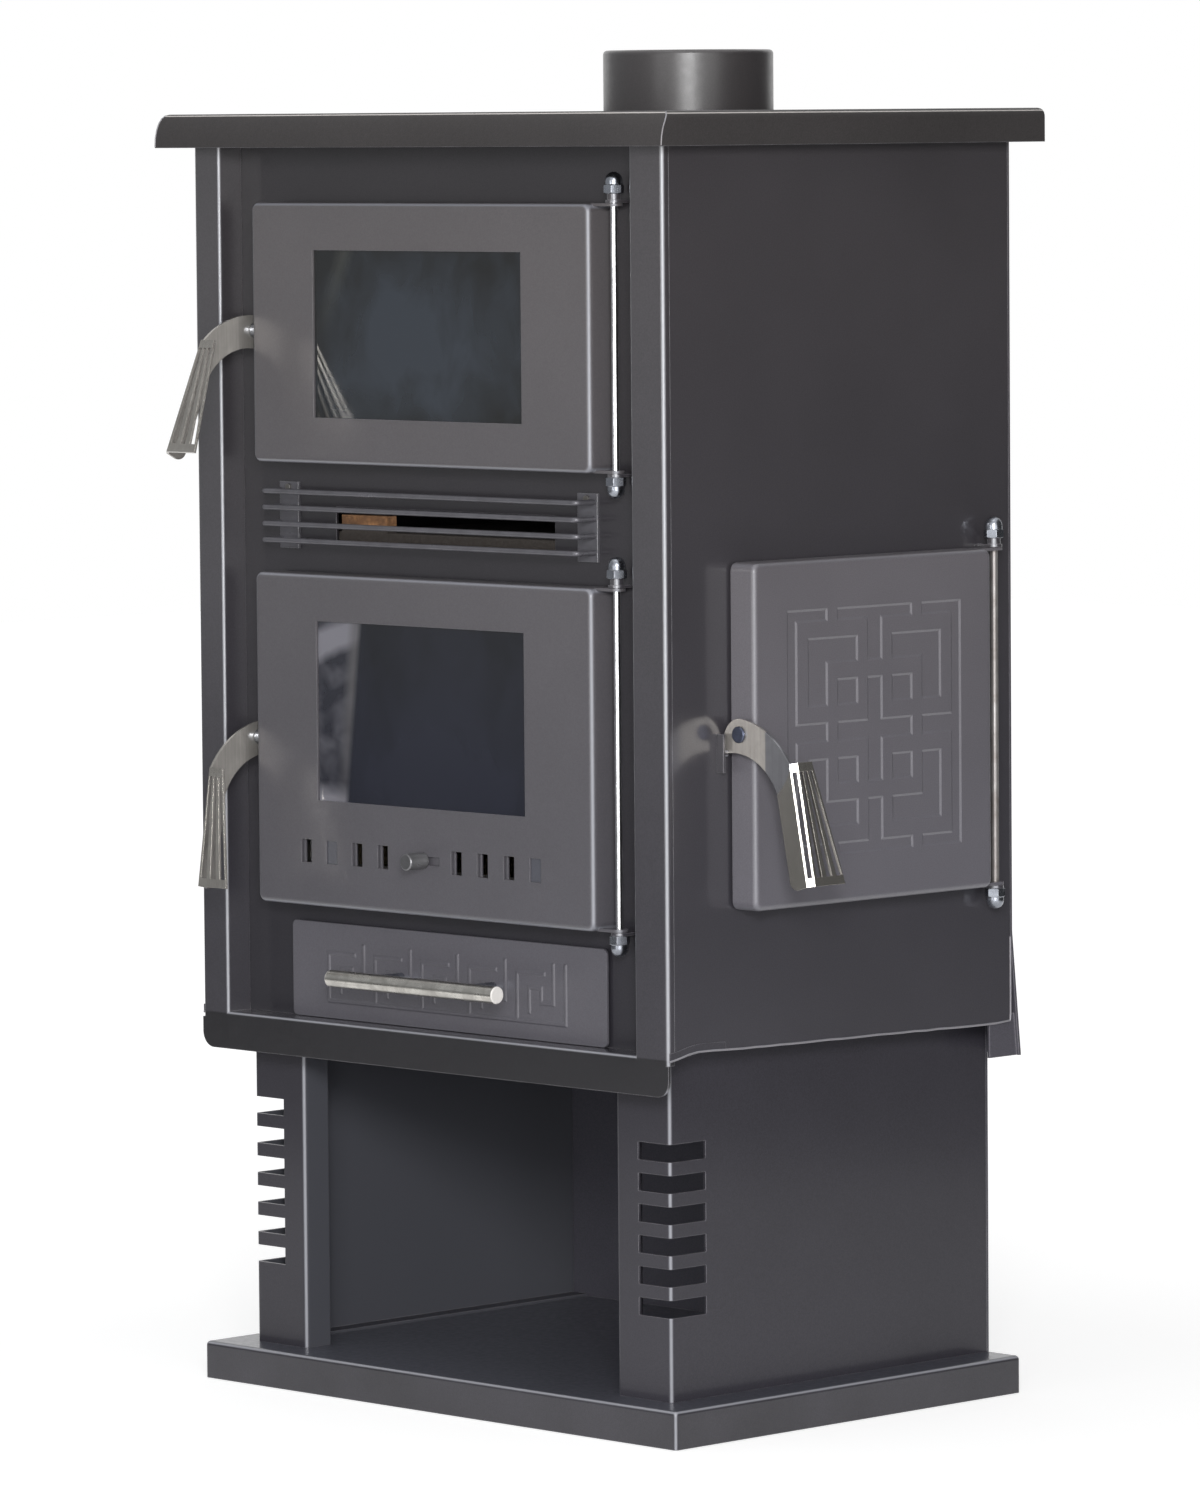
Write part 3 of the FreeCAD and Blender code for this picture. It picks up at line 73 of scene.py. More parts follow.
def noise(tree, point, scale, detail=2.0, rough=0.5, warp=0.0):
    values = {"Vector": point, "Scale": scale, "Detail": detail, "Roughness": rough, "Distortion": warp}
    return addNode(tree, "TexNoise", values).outputs[0]


def spread(tree, value, low, high, newLow=0.0, newHigh=1.0):
    values = {"Value": value, "From Min": low, "From Max": high, "To Min": newLow, "To Max": newHigh}
    return addNode(tree, "MapRange", values).outputs[0]


def mottle(tree, value, low=0.0, high=1.0):
    # a noise seldom leaves 0.3 to 0.7, so that range is spread from low to high
    return spread(tree, value, 0.3, 0.7, low, high)


def combine(tree, operation, a, b=0.0):
    return addNode(tree, "Math", {0: a, 1: b}, operation=operation).outputs[0]


def longSide(tree, a, b):
    # the long side of a right triangle with the short sides a and b
    squares = combine(tree, "ADD", combine(tree, "MULTIPLY", a, a), combine(tree, "MULTIPLY", b, b))
    return combine(tree, "SQRT", squares)


def axes(tree, point=None):
    return addNode(tree, "SeparateXYZ", {0: point or place(tree)}).outputs


def grey(tree, value):
    return addNode(tree, "CombineColor", {0: value, 1: value, 2: value}).outputs[0]


def blendColour(tree, factor, a, b, mode="MIX"):
    return addNode(tree, "Mix", {0: factor, 6: a, 7: b}, data_type="RGBA", blend_type=mode).outputs[2]


def bump(tree, height, strength, distance, normal=None):
    values = {"Height": height, "Strength": strength, "Distance": distance}
    if normal:
        values["Normal"] = normal
    return addNode(tree, "Bump", values).outputs[0]


def edgeMask(tree, radius, reach):
    # 1 on sharp or tightly folded edges, 0 on flat sheet; also the rounded normal
    rounded = addNode(tree, "Bevel", {"Radius": radius}, samples=6).outputs[0]
    straight = addNode(tree, "NewGeometry").outputs["True Normal"]
    dot = addNode(tree, "VectorMath", {0: rounded, 1: straight}, operation="DOT_PRODUCT").outputs["Value"]
    return spread(tree, dot, 1.0, 1.0 - reach), rounded


def finish(shader, tree, colour, rough, normal, metal=0.0):
    tree.links.new(colour, shader.inputs["Base Color"])
    if isinstance(rough, bpy.types.NodeSocket):
        tree.links.new(rough, shader.inputs["Roughness"])
    else:
        shader.inputs["Roughness"].default_value = rough
    if normal:
        tree.links.new(normal, shader.inputs["Normal"])
    shader.inputs["Metallic"].default_value = metal


# satin paint on the folded sheet, with a pale painted highlight on its rounded folds, painted shade darkening
# a low band, and painted light making the faces across one axis paler
paints = {
    "body": {"colour": (0.0480, 0.0455, 0.0510, 1), "edge": (0.27, 0.26, 0.285, 1), "roughLow": 0.34,
             "roughHigh": 0.44, "cloudScale": 7.0, "cloud": 0.10, "grainScale": 1100.0, "grain": 0.20,
             "peel": 0.10, "edgeRadius": 0.0011, "edgeReach": 0.34, "coat": 1.0, "coatRough": 0.14,
             "specular": 0.5, "foldColour": (0.34, 0.345, 0.38, 1), "foldFrom": 0.95, "foldTo": 0.80,
             "fold": 0.95},
    "door": {"colour": (0.0920, 0.0885, 0.0935, 1), "edge": (0.20, 0.195, 0.21, 1), "roughLow": 0.42,
             "roughHigh": 0.52, "cloudScale": 9.0, "cloud": 0.06, "grainScale": 1300.0, "grain": 0.16,
             "peel": 0.08, "edgeRadius": 0.0009, "edgeReach": 0.70, "coat": 0.6, "coatRough": 0.30,
             "specular": 0.5, "foldColour": (0.26, 0.265, 0.30, 1), "foldFrom": 0.95, "foldTo": 0.80,
             "fold": 0.85},
}
paintVariants = {
    # the frame's low rail band is painted shade: darker, and with less coat
    "frame": ("body", {"soot": (0.2635, 0.2625, 0.30)}),
    # a darker copy of the body paint for the recessed sheet: painted shade in the recess
    "panel": ("body", {"colour": (0.0300, 0.0285, 0.0325, 1), "specular": 0.32, "coat": 0.5}),
    # a paler copy of the body paint for the back sheet: painted light on its flare
    "rear": ("body", {"colour": (0.0850, 0.0810, 0.0920, 1)}),
    # the hob's front crease gets a pale painted highlight
    "hob": ("body", {"colour": (0.0440, 0.0425, 0.0430, 1), "roughLow": 0.50, "roughHigh": 0.60,
                     "specular": 0.26, "coat": 0.12, "coatRough": 0.30,
                     "foldColour": (0.60, 0.57, 0.55, 1), "foldFrom": 0.790, "foldTo": 0.735, "fold": 1.0}),
    "flue": ("body", {"colour": (0.0430, 0.0405, 0.0425, 1), "roughLow": 0.42, "roughHigh": 0.55,
                      "coat": 0.7, "coatRough": 0.30, "fold": 0.0}),
    "store": ("body", {"colour": (0.0400, 0.0380, 0.0440, 1), "specular": 0.25, "coat": 0.30}),
    # a paler copy for the wood store's back wall: painted light inside the store
    "storeBack": ("body", {"colour": (0.0740, 0.0720, 0.0830, 1), "specular": 0.35, "coat": 0.40}),
    # the wood store's left wall has its faces across X painted paler: painted light
    "storeLeft": ("store", {"inner": ("X", (0.082, 0.084, 0.098, 1))}),
    # the plinth's top faces are painted paler: painted light
    "plinth": ("body", {"colour": (0.0390, 0.0370, 0.0420, 1), "specular": 0.35, "coat": 0.45,
                        "cloudScale": 14.0, "cloud": 0.22, "inner": ("Z", (0.083, 0.086, 0.106, 1))}),
    # pale cut edges: partly the bare edge, partly painted highlight
    "cutEdge": ("body", {"colour": (0.250, 0.235, 0.235, 1), "coat": 0.4}),
    "fuelDoor": ("door", {"colour": (0.1380, 0.1330, 0.1420, 1), "edge": (0.16, 0.155, 0.165, 1),
                          "edgeRadius": 0.0005, "fold": 0.22}),
    # darker edge colour: painted shade in the pressed grooves
    "drawer": ("door", {"colour": (0.1040, 0.1000, 0.1080, 1), "edge": (0.048, 0.046, 0.052, 1),
                        "edgeRadius": 0.0009, "fold": 0.0}),
    "shutter": ("door", {"colour": (0.074, 0.077, 0.088, 1), "edge": (0.16, 0.16, 0.17, 1),
                         "edgeRadius": 0.0004}),
}
for name, (base, changes) in paintVariants.items():
    paints[name] = dict(paints[base], **changes)
paintFilm = {"wearScale": 90.0, "wearRange": (0.35, 0.6), "wearLeast": 0.45, "roughScale": 240.0,
             "peelScale": 1500.0, "peelDepth": 0.0004, "warmFrom": 0.35, "warmTo": 0.80,
             "cool": (0.99, 0.985, 1.07, 1), "warm": (1.03, 0.98, 0.97, 1), "innerRange": (0.90, 0.98)}


def makePaint(name, look):
    material, tree, shader = startMaterial(name)
    point = place(tree)
    mask, rounded = edgeMask(tree, look["edgeRadius"], look["edgeReach"])
    cloud, grain = look["cloud"], look["grain"]
    clouds = mottle(tree, noise(tree, point, look["cloudScale"], 3.0), 1.0 - cloud, 1.0 + cloud)
    grains = mottle(tree, noise(tree, point, look["grainScale"], 2.0, 0.7), 1.0 - grain, 1.0 + grain)
    tone = combine(tree, "MULTIPLY", clouds, grains)
    height = axes(tree, point)["Z"]
    soot = None
    # painted shade: the paint is darker below a height
    if "soot" in look:
        clean, dark, left = look["soot"]
        soot = spread(tree, height, clean, dark, 1.0, left)
        tone = combine(tree, "MULTIPLY", tone, soot)
    colour = blendColour(tree, 1.0, look["colour"], grey(tree, tone), "MULTIPLY")
    # cool paint near the floor, warmer up by the hob
    warmth = spread(tree, height, paintFilm["warmFrom"], paintFilm["warmTo"])
    tint = blendColour(tree, warmth, paintFilm["cool"], paintFilm["warm"])
    colour = blendColour(tree, 1.0, colour, tint, "MULTIPLY")
    # a face that looks along no axis lies on one of the folds, which get a pale painted highlight
    facing = addNode(tree, "VectorMath", {0: addNode(tree, "TexCoord").outputs["Normal"]},
                     operation="ABSOLUTE").outputs[0]
    sides = axes(tree, facing)
    flat = combine(tree, "MAXIMUM", combine(tree, "MAXIMUM", sides["X"], sides["Y"]), sides["Z"])
    folded = spread(tree, flat, look["foldFrom"], look["foldTo"], 0.0, look["fold"])
    colour = blendColour(tree, folded, colour, look["foldColour"])
    # painted light: faces looking along one axis are painted paler
    if "inner" in look:
        axis, pale = look["inner"]
        colour = blendColour(tree, spread(tree, sides[axis], *paintFilm["innerRange"]), colour, pale)
    # pale edge colour in patches: partly wear, partly painted highlight on edges that catch the light
    worn = spread(tree, noise(tree, point, paintFilm["wearScale"], 3.0), *paintFilm["wearRange"],
                  paintFilm["wearLeast"], 1.0)
    colour = blendColour(tree, combine(tree, "MULTIPLY", mask, worn), colour, look["edge"])
    rough = mottle(tree, noise(tree, point, paintFilm["roughScale"], 3.0), look["roughLow"], look["roughHigh"])
    peel = noise(tree, point, paintFilm["peelScale"], 1.0)
    finish(shader, tree, colour, rough, bump(tree, peel, look["peel"], paintFilm["peelDepth"], rounded))
    shader.inputs["Coat Weight"].default_value = look["coat"]
    shader.inputs["Coat Roughness"].default_value = look["coatRough"]
    shader.inputs["Specular IOR Level"].default_value = look["specular"]
    # the painted shade also thins the coat on the low band
    if soot:
        tree.links.new(combine(tree, "MULTIPLY", soot, look["coat"]), shader.inputs["Coat Weight"])
    return material


# bare metals
metals = {
    "rod": {"colour": (0.74, 0.74, 0.76, 1), "dark": (0.42, 0.42, 0.43, 1), "rough": (0.12, 0.26),
            "stretch": (500, 500, 14), "scratch": 0.06, "metal": 1.0},
    # the side door's rod: a darker, duller copy of the rod steel, painted shade
    "sideRod": {"colour": (0.40, 0.385, 0.38, 1), "dark": (0.22, 0.195, 0.18, 1), "rough": (0.34, 0.48),
                "stretch": (500, 500, 14), "scratch": 0.06, "metal": 0.6},
    "nut": {"colour": (0.34, 0.36, 0.40, 1), "dark": (0.22, 0.23, 0.26, 1), "rough": (0.22, 0.32),
            "stretch": (300, 300, 300), "scratch": 0.04, "metal": 1.0},
    "bar": {"colour": (0.62, 0.60, 0.56, 1), "dark": (0.36, 0.345, 0.32, 1), "rough": (0.20, 0.38),
            "stretch": (18, 700, 700), "scratch": 0.12, "metal": 1.0,
            "ends": ("drawer_bar", 0.0011, (0.86, 0.83, 0.80, 1))},
    "knob": {"colour": (0.24, 0.24, 0.25, 1), "dark": (0.15, 0.15, 0.155, 1), "rough": (0.26, 0.36),
             "stretch": (300, 60, 300), "scratch": 0.05, "metal": 0.8, "rings": 260.0},
    "inner": {"colour": (0.255, 0.250, 0.240, 1), "dark": (0.185, 0.168, 0.150, 1), "rough": (0.42, 0.60),
              "stretch": (60, 60, 60), "scratch": 0.10, "metal": 1.0},
    "blued": {"colour": (0.105, 0.120, 0.175, 1), "dark": (0.060, 0.065, 0.090, 1), "rough": (0.26, 0.40),
              "stretch": (300, 300, 300), "scratch": 0.05, "metal": 0.9},
    "wire": {"colour": (0.135, 0.132, 0.148, 1), "dark": (0.095, 0.093, 0.104, 1), "rough": (0.26, 0.36),
             "stretch": (20, 400, 400), "scratch": 0.05, "metal": 0.3},
}


metalWear = {"edgeRadius": 0.0005, "edgeReach": 0.35, "edgeMix": 0.6, "edgeColour": (0.85, 0.85, 0.85, 1),
             "smearScale": 55.0, "smearRange": (0.38, 0.72), "streakRange": (0.45, 0.75), "streakMix": 0.5,
             "roughRange": (0.7, 1.3), "depth": 0.0002, "ringStrength": 0.6, "ringDepth": 0.0004,
             "sawnRough": 0.6}


def handled(tree, stretch):
    # brushed streaks along the metal, and smears over it
    streaks = noise(tree, place(tree, stretch), 1.0, 3.0, 0.6)
    return streaks, noise(tree, place(tree), metalWear["smearScale"], 4.0, 0.6, 0.6)


def makeMetal(name, look):
    material, tree, shader = startMaterial(name)
    mask, rounded = edgeMask(tree, metalWear["edgeRadius"], metalWear["edgeReach"])
    streaks, smears = handled(tree, look["stretch"])
    colour = blendColour(tree, spread(tree, smears, *metalWear["smearRange"]), look["colour"], look["dark"])
    streaked = spread(tree, streaks, *metalWear["streakRange"], 0.0, metalWear["streakMix"])
    colour = blendColour(tree, streaked, colour, look["dark"])
    # pale metal edges: partly wear, partly painted glint
    shine = combine(tree, "MULTIPLY", mask, metalWear["edgeMix"])
    colour = blendColour(tree, shine, colour, metalWear["edgeColour"])
    both = combine(tree, "ADD", streaks, smears)
    rough = spread(tree, both, *metalWear["roughRange"], *look["rough"])
    relief = bump(tree, streaks, look["scratch"], metalWear["depth"], rounded)
    if "rings" in look:
        rings = addNode(tree, "TexWave", {"Vector": place(tree), "Scale": look["rings"]},
                        bands_direction="Y").outputs[1]
        relief = bump(tree, rings, metalWear["ringStrength"], metalWear["ringDepth"], relief)
    finish(shader, tree, colour, rough, relief, look["metal"])
    if "ends" in look:
        # sawn ends, matt and pale
        node, width, pale = look["ends"]
        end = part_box(node)[1].x
        along = combine(tree, "ABSOLUTE", axes(tree)["X"])
        sawn = spread(tree, along, end - width, end - width * 0.7)
        tree.links.new(blendColour(tree, sawn, colour, pale), shader.inputs["Base Color"])
        tree.links.new(spread(tree, sawn, 0.0, 1.0, look["metal"], 0.0), shader.inputs["Metallic"])
        matt = combine(tree, "MULTIPLY", sawn, metalWear["sawnRough"])
        tree.links.new(combine(tree, "MAXIMUM", rough, matt), shader.inputs["Roughness"])
    return material


# stainless levers: on the fuel lever, the pale colour by the bolt and the darker one further out paint a
# reflection; "grip" is the colour on the slotted end
levers = {
    "oven": {"bolt": "oven_handle_bolt", "outward": (1, -1), "near": (0.44, 0.42, 0.39, 1),
             "arm": (0.44, 0.42, 0.39, 1)},
    "fire": {"bolt": "fire_handle_bolt", "outward": (1, -1), "near": (0.44, 0.42, 0.39, 1),
             "arm": (0.44, 0.42, 0.39, 1)},
    "fuel": {"bolt": "fuel_handle_bolt", "outward": (0, 1), "near": (0.60, 0.565, 0.525, 1),
             "arm": (0.27, 0.27, 0.29, 1)},
}
leverLook = {"bend": 0.024, "bendSoft": 0.0006, "gripStart": 0.052, "gripSoft": 0.001,
             "grip": (0.41, 0.39, 0.36, 1), "metalArm": 0.62, "metalGrip": 0.85, "stretch": (700, 700, 16),
             "shadeRange": (0.75, 1.35), "shadeMost": 0.72, "rough": (0.18, 0.27), "scratch": 0.05}


def makeLever(name, look):
    material, tree, shader = startMaterial(name)
    low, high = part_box(look["bolt"])
    pivot = (low + high) / 2
    axis, sign = look["outward"]
    rounded = edgeMask(tree, metalWear["edgeRadius"], metalWear["edgeReach"])[1]
    parts = axes(tree)
    outward = combine(tree, "MULTIPLY", combine(tree, "SUBTRACT", parts["XYZ"[axis]], pivot[axis]), sign)
    reach = longSide(tree, outward, combine(tree, "SUBTRACT", parts["Z"], pivot.z))
    bend, soft = leverLook["bend"], leverLook["bendSoft"]
    # painted reflection: on the fuel lever, pale by the bolt and darker further out
    colour = blendColour(tree, spread(tree, outward, bend - soft, bend + soft), look["near"], look["arm"])
    start, soft = leverLook["gripStart"], leverLook["gripSoft"]
    inGrip = spread(tree, reach, start - soft, start + soft)
    colour = blendColour(tree, inGrip, colour, leverLook["grip"])
    streaks, smears = handled(tree, leverLook["stretch"])
    shade = spread(tree, combine(tree, "ADD", streaks, smears), *leverLook["shadeRange"],
                   1.0, leverLook["shadeMost"])
    colour = blendColour(tree, 1.0, colour, grey(tree, shade), "MULTIPLY")
    rough = spread(tree, combine(tree, "ADD", streaks, smears), *metalWear["roughRange"], *leverLook["rough"])
    finish(shader, tree, colour, rough, bump(tree, streaks, leverLook["scratch"], metalWear["depth"], rounded))
    metal = spread(tree, inGrip, 0.0, 1.0, leverLook["metalArm"], leverLook["metalGrip"])
    tree.links.new(metal, shader.inputs["Metallic"])
    return material


castIronLook = {"edgeRadius": 0.0012, "edgeReach": 0.4, "edgeMix": 0.5, "edge": (0.11, 0.105, 0.10, 1),
                "dark": (0.022, 0.021, 0.021, 1), "pale": (0.048, 0.045, 0.043, 1), "cloudScale": 30.0,
                "pitScale": 900.0, "pitStrength": 0.35, "pitDepth": 0.0005, "roughScale": 120.0,
                "rough": (0.48, 0.72), "metal": 0.35}


def makeCastIron(look):
    material, tree, shader = startMaterial("castIron")
    point = place(tree)
    mask, rounded = edgeMask(tree, look["edgeRadius"], look["edgeReach"])
    pits = noise(tree, point, look["pitScale"], 4.0, 0.7)
    clouds = mottle(tree, noise(tree, point, look["cloudScale"], 4.0))
    colour = blendColour(tree, clouds, look["dark"], look["pale"])
    colour = blendColour(tree, combine(tree, "MULTIPLY", mask, look["edgeMix"]), colour, look["edge"])
    rough = mottle(tree, noise(tree, point, look["roughScale"], 3.0), *look["rough"])
    relief = bump(tree, pits, look["pitStrength"], look["pitDepth"], rounded)
    finish(shader, tree, colour, rough, relief, look["metal"])
    return material


# smoky ceramic glass with painted reflections: a cloudy pale centre and a slanting shaft in the oven's pane, a
# pale leaning band down the left of the fire's. Places in a pane run from 0 to 1, from the lower left corner.
glasses = {
    "oven": {"node": "oven_door_glass", "dark": (0.010, 0.011, 0.012, 1), "glow": (0.034, 0.042, 0.055, 1),
             "centre": (0.50, 0.45), "reach": (0.62, 0.15),
             "beam": {"lean": -0.25, "shift": 0.06, "width": 0.050, "from": 0.45, "mix": 0.5,
                      "colour": (0.085, 0.088, 0.078, 1)}},
    "fire": {"node": "fire_door_glass", "dark": (0.007, 0.008, 0.013, 1), "glow": (0.020, 0.022, 0.036, 1),
             "centre": (0.60, 0.10), "reach": (0.95, 0.25),
             "strip": {"width": 0.155, "lean": 0.075, "soft": 0.012, "patchLean": -0.55, "patchAt": 0.80,
                       "patchRange": (0.10, 0.03), "lowRange": (0.16, 0.06), "patchStretch": (34, 34, 46),
                       "brightRange": (0.42, 1.25), "dark": (0.026, 0.027, 0.038, 1),
                       "bright": (0.235, 0.230, 0.262, 1), "bandRange": (0.055, 0.020),
                       "bandRise": (0.10, 0.60, 0.25, 0.75), "band": (0.120, 0.116, 0.122, 1)}},
}
pane = {"cloudStretch": (26, 26, 17), "smearStretch": (9, 9, 4), "smearTurn": (0.3, 0.5, 0.2),
        "smearRange": (0.4, 0.75), "rough": (0.03, 0.12), "waveScale": 14.0, "waveStrength": 0.05,
        "waveDepth": 0.002, "transmission": 0.12, "ior": 1.52}


def stripColour(tree, look, colour, u, v):
    edge = combine(tree, "ADD", combine(tree, "MULTIPLY", v, look["lean"]), look["width"])
    inStrip = spread(tree, combine(tree, "SUBTRACT", u, edge), look["soft"], -look["soft"])
    slant = combine(tree, "ADD", v, combine(tree, "MULTIPLY", u, look["patchLean"]))
    offPatch = combine(tree, "ABSOLUTE", combine(tree, "SUBTRACT", slant, look["patchAt"]))
    topPatch = spread(tree, offPatch, *look["patchRange"])
    lowPatch = spread(tree, v, *look["lowRange"])
    patches = noise(tree, place(tree, look["patchStretch"], (0, 0.35, 0)), 1.0, 2.0, 0.5, 0.4)
    bright = combine(tree, "ADD", combine(tree, "MAXIMUM", topPatch, lowPatch), patches)
    inside = blendColour(tree, spread(tree, bright, *look["brightRange"]), look["dark"], look["bright"])
    # a paler band of painted reflection runs up along its edge
    beside = spread(tree, combine(tree, "SUBTRACT", edge, u), *look["bandRange"])
    band = combine(tree, "MULTIPLY", beside, spread(tree, v, *look["bandRise"]))
    inside = blendColour(tree, band, inside, look["band"])
    return blendColour(tree, inStrip, colour, inside)


def beamColour(tree, look, colour, u, v):
    slant = combine(tree, "ADD", u, combine(tree, "MULTIPLY", v, look["lean"]))
    offBeam = combine(tree, "ABSOLUTE", combine(tree, "ADD", slant, look["shift"]))
    beam = combine(tree, "MULTIPLY", spread(tree, offBeam, look["width"], 0.0),
                   spread(tree, v, look["from"], 1.0))
    return blendColour(tree, combine(tree, "MULTIPLY", beam, look["mix"]), colour, look["colour"])


def makeGlass(name, look):
    material, tree, shader = startMaterial(name)
    low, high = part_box(look["node"])
    point = place(tree)
    parts = axes(tree, point)
    u = spread(tree, parts["X"], low.x, high.x)
    v = spread(tree, parts["Z"], low.z, high.z)
    cloud = noise(tree, place(tree, pane["cloudStretch"]), 1.0, 3.0, 0.55, 0.6)
    smears = noise(tree, place(tree, pane["smearStretch"], pane["smearTurn"]), 1.0, 4.0, 0.6, 1.2)
    apart = longSide(tree, combine(tree, "SUBTRACT", u, look["centre"][0]),
                     combine(tree, "SUBTRACT", v, look["centre"][1]))
    apart = combine(tree, "ADD", apart, combine(tree, "SUBTRACT", cloud, 0.5))
    colour = blendColour(tree, spread(tree, apart, *look["reach"]), look["dark"], look["glow"])
    if "strip" in look:
        colour = stripColour(tree, look["strip"], colour, u, v)
    if "beam" in look:
        colour = beamColour(tree, look["beam"], colour, u, v)
    rough = spread(tree, smears, *pane["smearRange"], *pane["rough"])
    waves = bump(tree, noise(tree, point, pane["waveScale"], 1.0), pane["waveStrength"], pane["waveDepth"])
    finish(shader, tree, colour, rough, waves)
    shader.inputs["Transmission Weight"].default_value = pane["transmission"]
    shader.inputs["IOR"].default_value = pane["ior"]
    return material


bricks = {"edgeRadius": 0.002, "edgeReach": 0.5, "edgeMix": 0.4, "edge": (0.72, 0.62, 0.48, 1),
          "gritScale": 420.0, "gritRange": (0.35, 0.65), "dark": (0.50, 0.38, 0.25, 1),
          "pale": (0.66, 0.55, 0.40, 1), "sootScale": 16.0, "sootRange": (0.45, 0.7), "sootMost": 0.55,
          "soot": (0.07, 0.06, 0.055, 1), "rough": (0.82, 0.96), "gritStrength": 0.6, "gritDepth": 0.0009}


def makeBrick(look):
    material, tree, shader = startMaterial("firebrick")
    point = place(tree)
    mask, rounded = edgeMask(tree, look["edgeRadius"], look["edgeReach"])
    grit = noise(tree, point, look["gritScale"], 4.0, 0.7)
    colour = blendColour(tree, spread(tree, grit, *look["gritRange"]), look["dark"], look["pale"])
    sooty = noise(tree, point, look["sootScale"], 4.0, 0.6, 0.5)
    soot = spread(tree, sooty, *look["sootRange"], 0.0, look["sootMost"])
    colour = blendColour(tree, soot, colour, look["soot"])
    colour = blendColour(tree, combine(tree, "MULTIPLY", mask, look["edgeMix"]), colour, look["edge"])
    relief = bump(tree, grit, look["gritStrength"], look["gritDepth"], rounded)
    finish(shader, tree, colour, mottle(tree, grit, *look["rough"]), relief)
    return material


# pressed flake board behind the vent, browned by heat, with charred patches; painted shadow darkens it up to
# its raised end
flakes = {"scale": 260.0, "pale": (0.50, 0.25, 0.11, 1), "dark": (0.30, 0.15, 0.07, 1),
          "charScale": 22.0, "charRange": (0.42, 0.62), "char": (0.035, 0.026, 0.022, 1),
          "burntRange": (0.6112, 0.6096), "burnt": (0.050, 0.042, 0.037, 1), "rough": (0.78, 0.95)}


def makeBoard(look):
    material, tree, shader = startMaterial("flakeBoard")
    point = place(tree)
    values = {"Vector": point, "Scale": look["scale"], "Randomness": 1.0}
    flake = addNode(tree, "TexVoronoi", values).outputs[0]
    colour = blendColour(tree, spread(tree, flake, 0.1, 0.7), look["pale"], look["dark"])
    charred = spread(tree, noise(tree, point, look["charScale"], 3.0), *look["charRange"])
    colour = blendColour(tree, charred, colour, look["char"])
    # painted shadow below a height
    burnt = spread(tree, axes(tree, point)["Z"], *look["burntRange"])
    colour = blendColour(tree, burnt, colour, look["burnt"])
    finish(shader, tree, colour, spread(tree, flake, 0.0, 0.8, *look["rough"]), bump(tree, flake, 0.5, 0.001))
    return material


fibres = {"scale": 1600.0, "dark": (0.30, 0.30, 0.29, 1), "pale": (0.50, 0.49, 0.46, 1), "dirtScale": 26.0,
          "dirtRange": (0.45, 0.7), "dirtMost": 0.6, "dirt": (0.10, 0.095, 0.09, 1), "rough": (0.75, 0.92),
          "sheen": 0.3}


def makeRopeFibre(look):
    material, tree, shader = startMaterial("glassFibreRope")
    fine = noise(tree, place(tree), look["scale"], 3.0, 0.7)
    dirt = noise(tree, place(tree), look["dirtScale"], 4.0, 0.6)
    colour = blendColour(tree, mottle(tree, fine), look["dark"], look["pale"])
    dirty = spread(tree, dirt, *look["dirtRange"], 0.0, look["dirtMost"])
    colour = blendColour(tree, dirty, colour, look["dirt"])
    finish(shader, tree, colour, mottle(tree, fine, *look["rough"]), bump(tree, fine, 0.5, 0.0003))
    shader.inputs["Sheen Weight"].default_value = look["sheen"]
    return material


bodyPaint = makePaint("satinCharcoalPaint", paints["body"])
doorPaint = makePaint("lighterDoorPaint", paints["door"])
framePaint = makePaint("frontFramePaint", paints["frame"])
panelPaint = makePaint("recessedPanelPaint", paints["panel"])
fluePaint = makePaint("fluePaint", paints["flue"])
rearPaint = makePaint("rearPanelPaint", paints["rear"])
storePaint = makePaint("woodStorePaint", paints["store"])
storeBackPaint = makePaint("woodStoreBackPaint", paints["storeBack"])
storeLeftPaint = makePaint("woodStoreLeftPaint", paints["storeLeft"])
shutterPaint = makePaint("shutterPaint", paints["shutter"])
plinthPaint = makePaint("plinthPaint", paints["plinth"])
hobPaint = makePaint("hobPaint", paints["hob"])
fuelDoorPaint = makePaint("fuelDoorPaint", paints["fuelDoor"])
drawerPaint = makePaint("drawerPaint", paints["drawer"])
rodSteel = makeMetal("brightRodSteel", metals["rod"])
sideRodSteel = makeMetal("dullRodSteel", metals["sideRod"])
nutSteel = makeMetal("nutSteel", metals["nut"])
knobSteel = makeMetal("knurledKnobSteel", metals["knob"])
leverSteels = {name: makeLever(name + "LeverStainless", look) for name, look in levers.items()}
barSteel = makeMetal("barStainless", metals["bar"])
innerSteel = makeMetal("heatedInnerSteel", metals["inner"])
castIron = makeCastIron(castIronLook)
boltSteel = makeMetal("bluedBoltSteel", metals["blued"])
wireSteel = makeMetal("paintedWire", metals["wire"])
ovenGlass = makeGlass("smokyOvenGlass", glasses["oven"])
fireGlass = makeGlass("smokyFireGlass", glasses["fire"])
firebrick = makeBrick(bricks)
flakeBoard = makeBoard(flakes)
ropeFibre = makeRopeFibre(fibres)
print("finishes made")

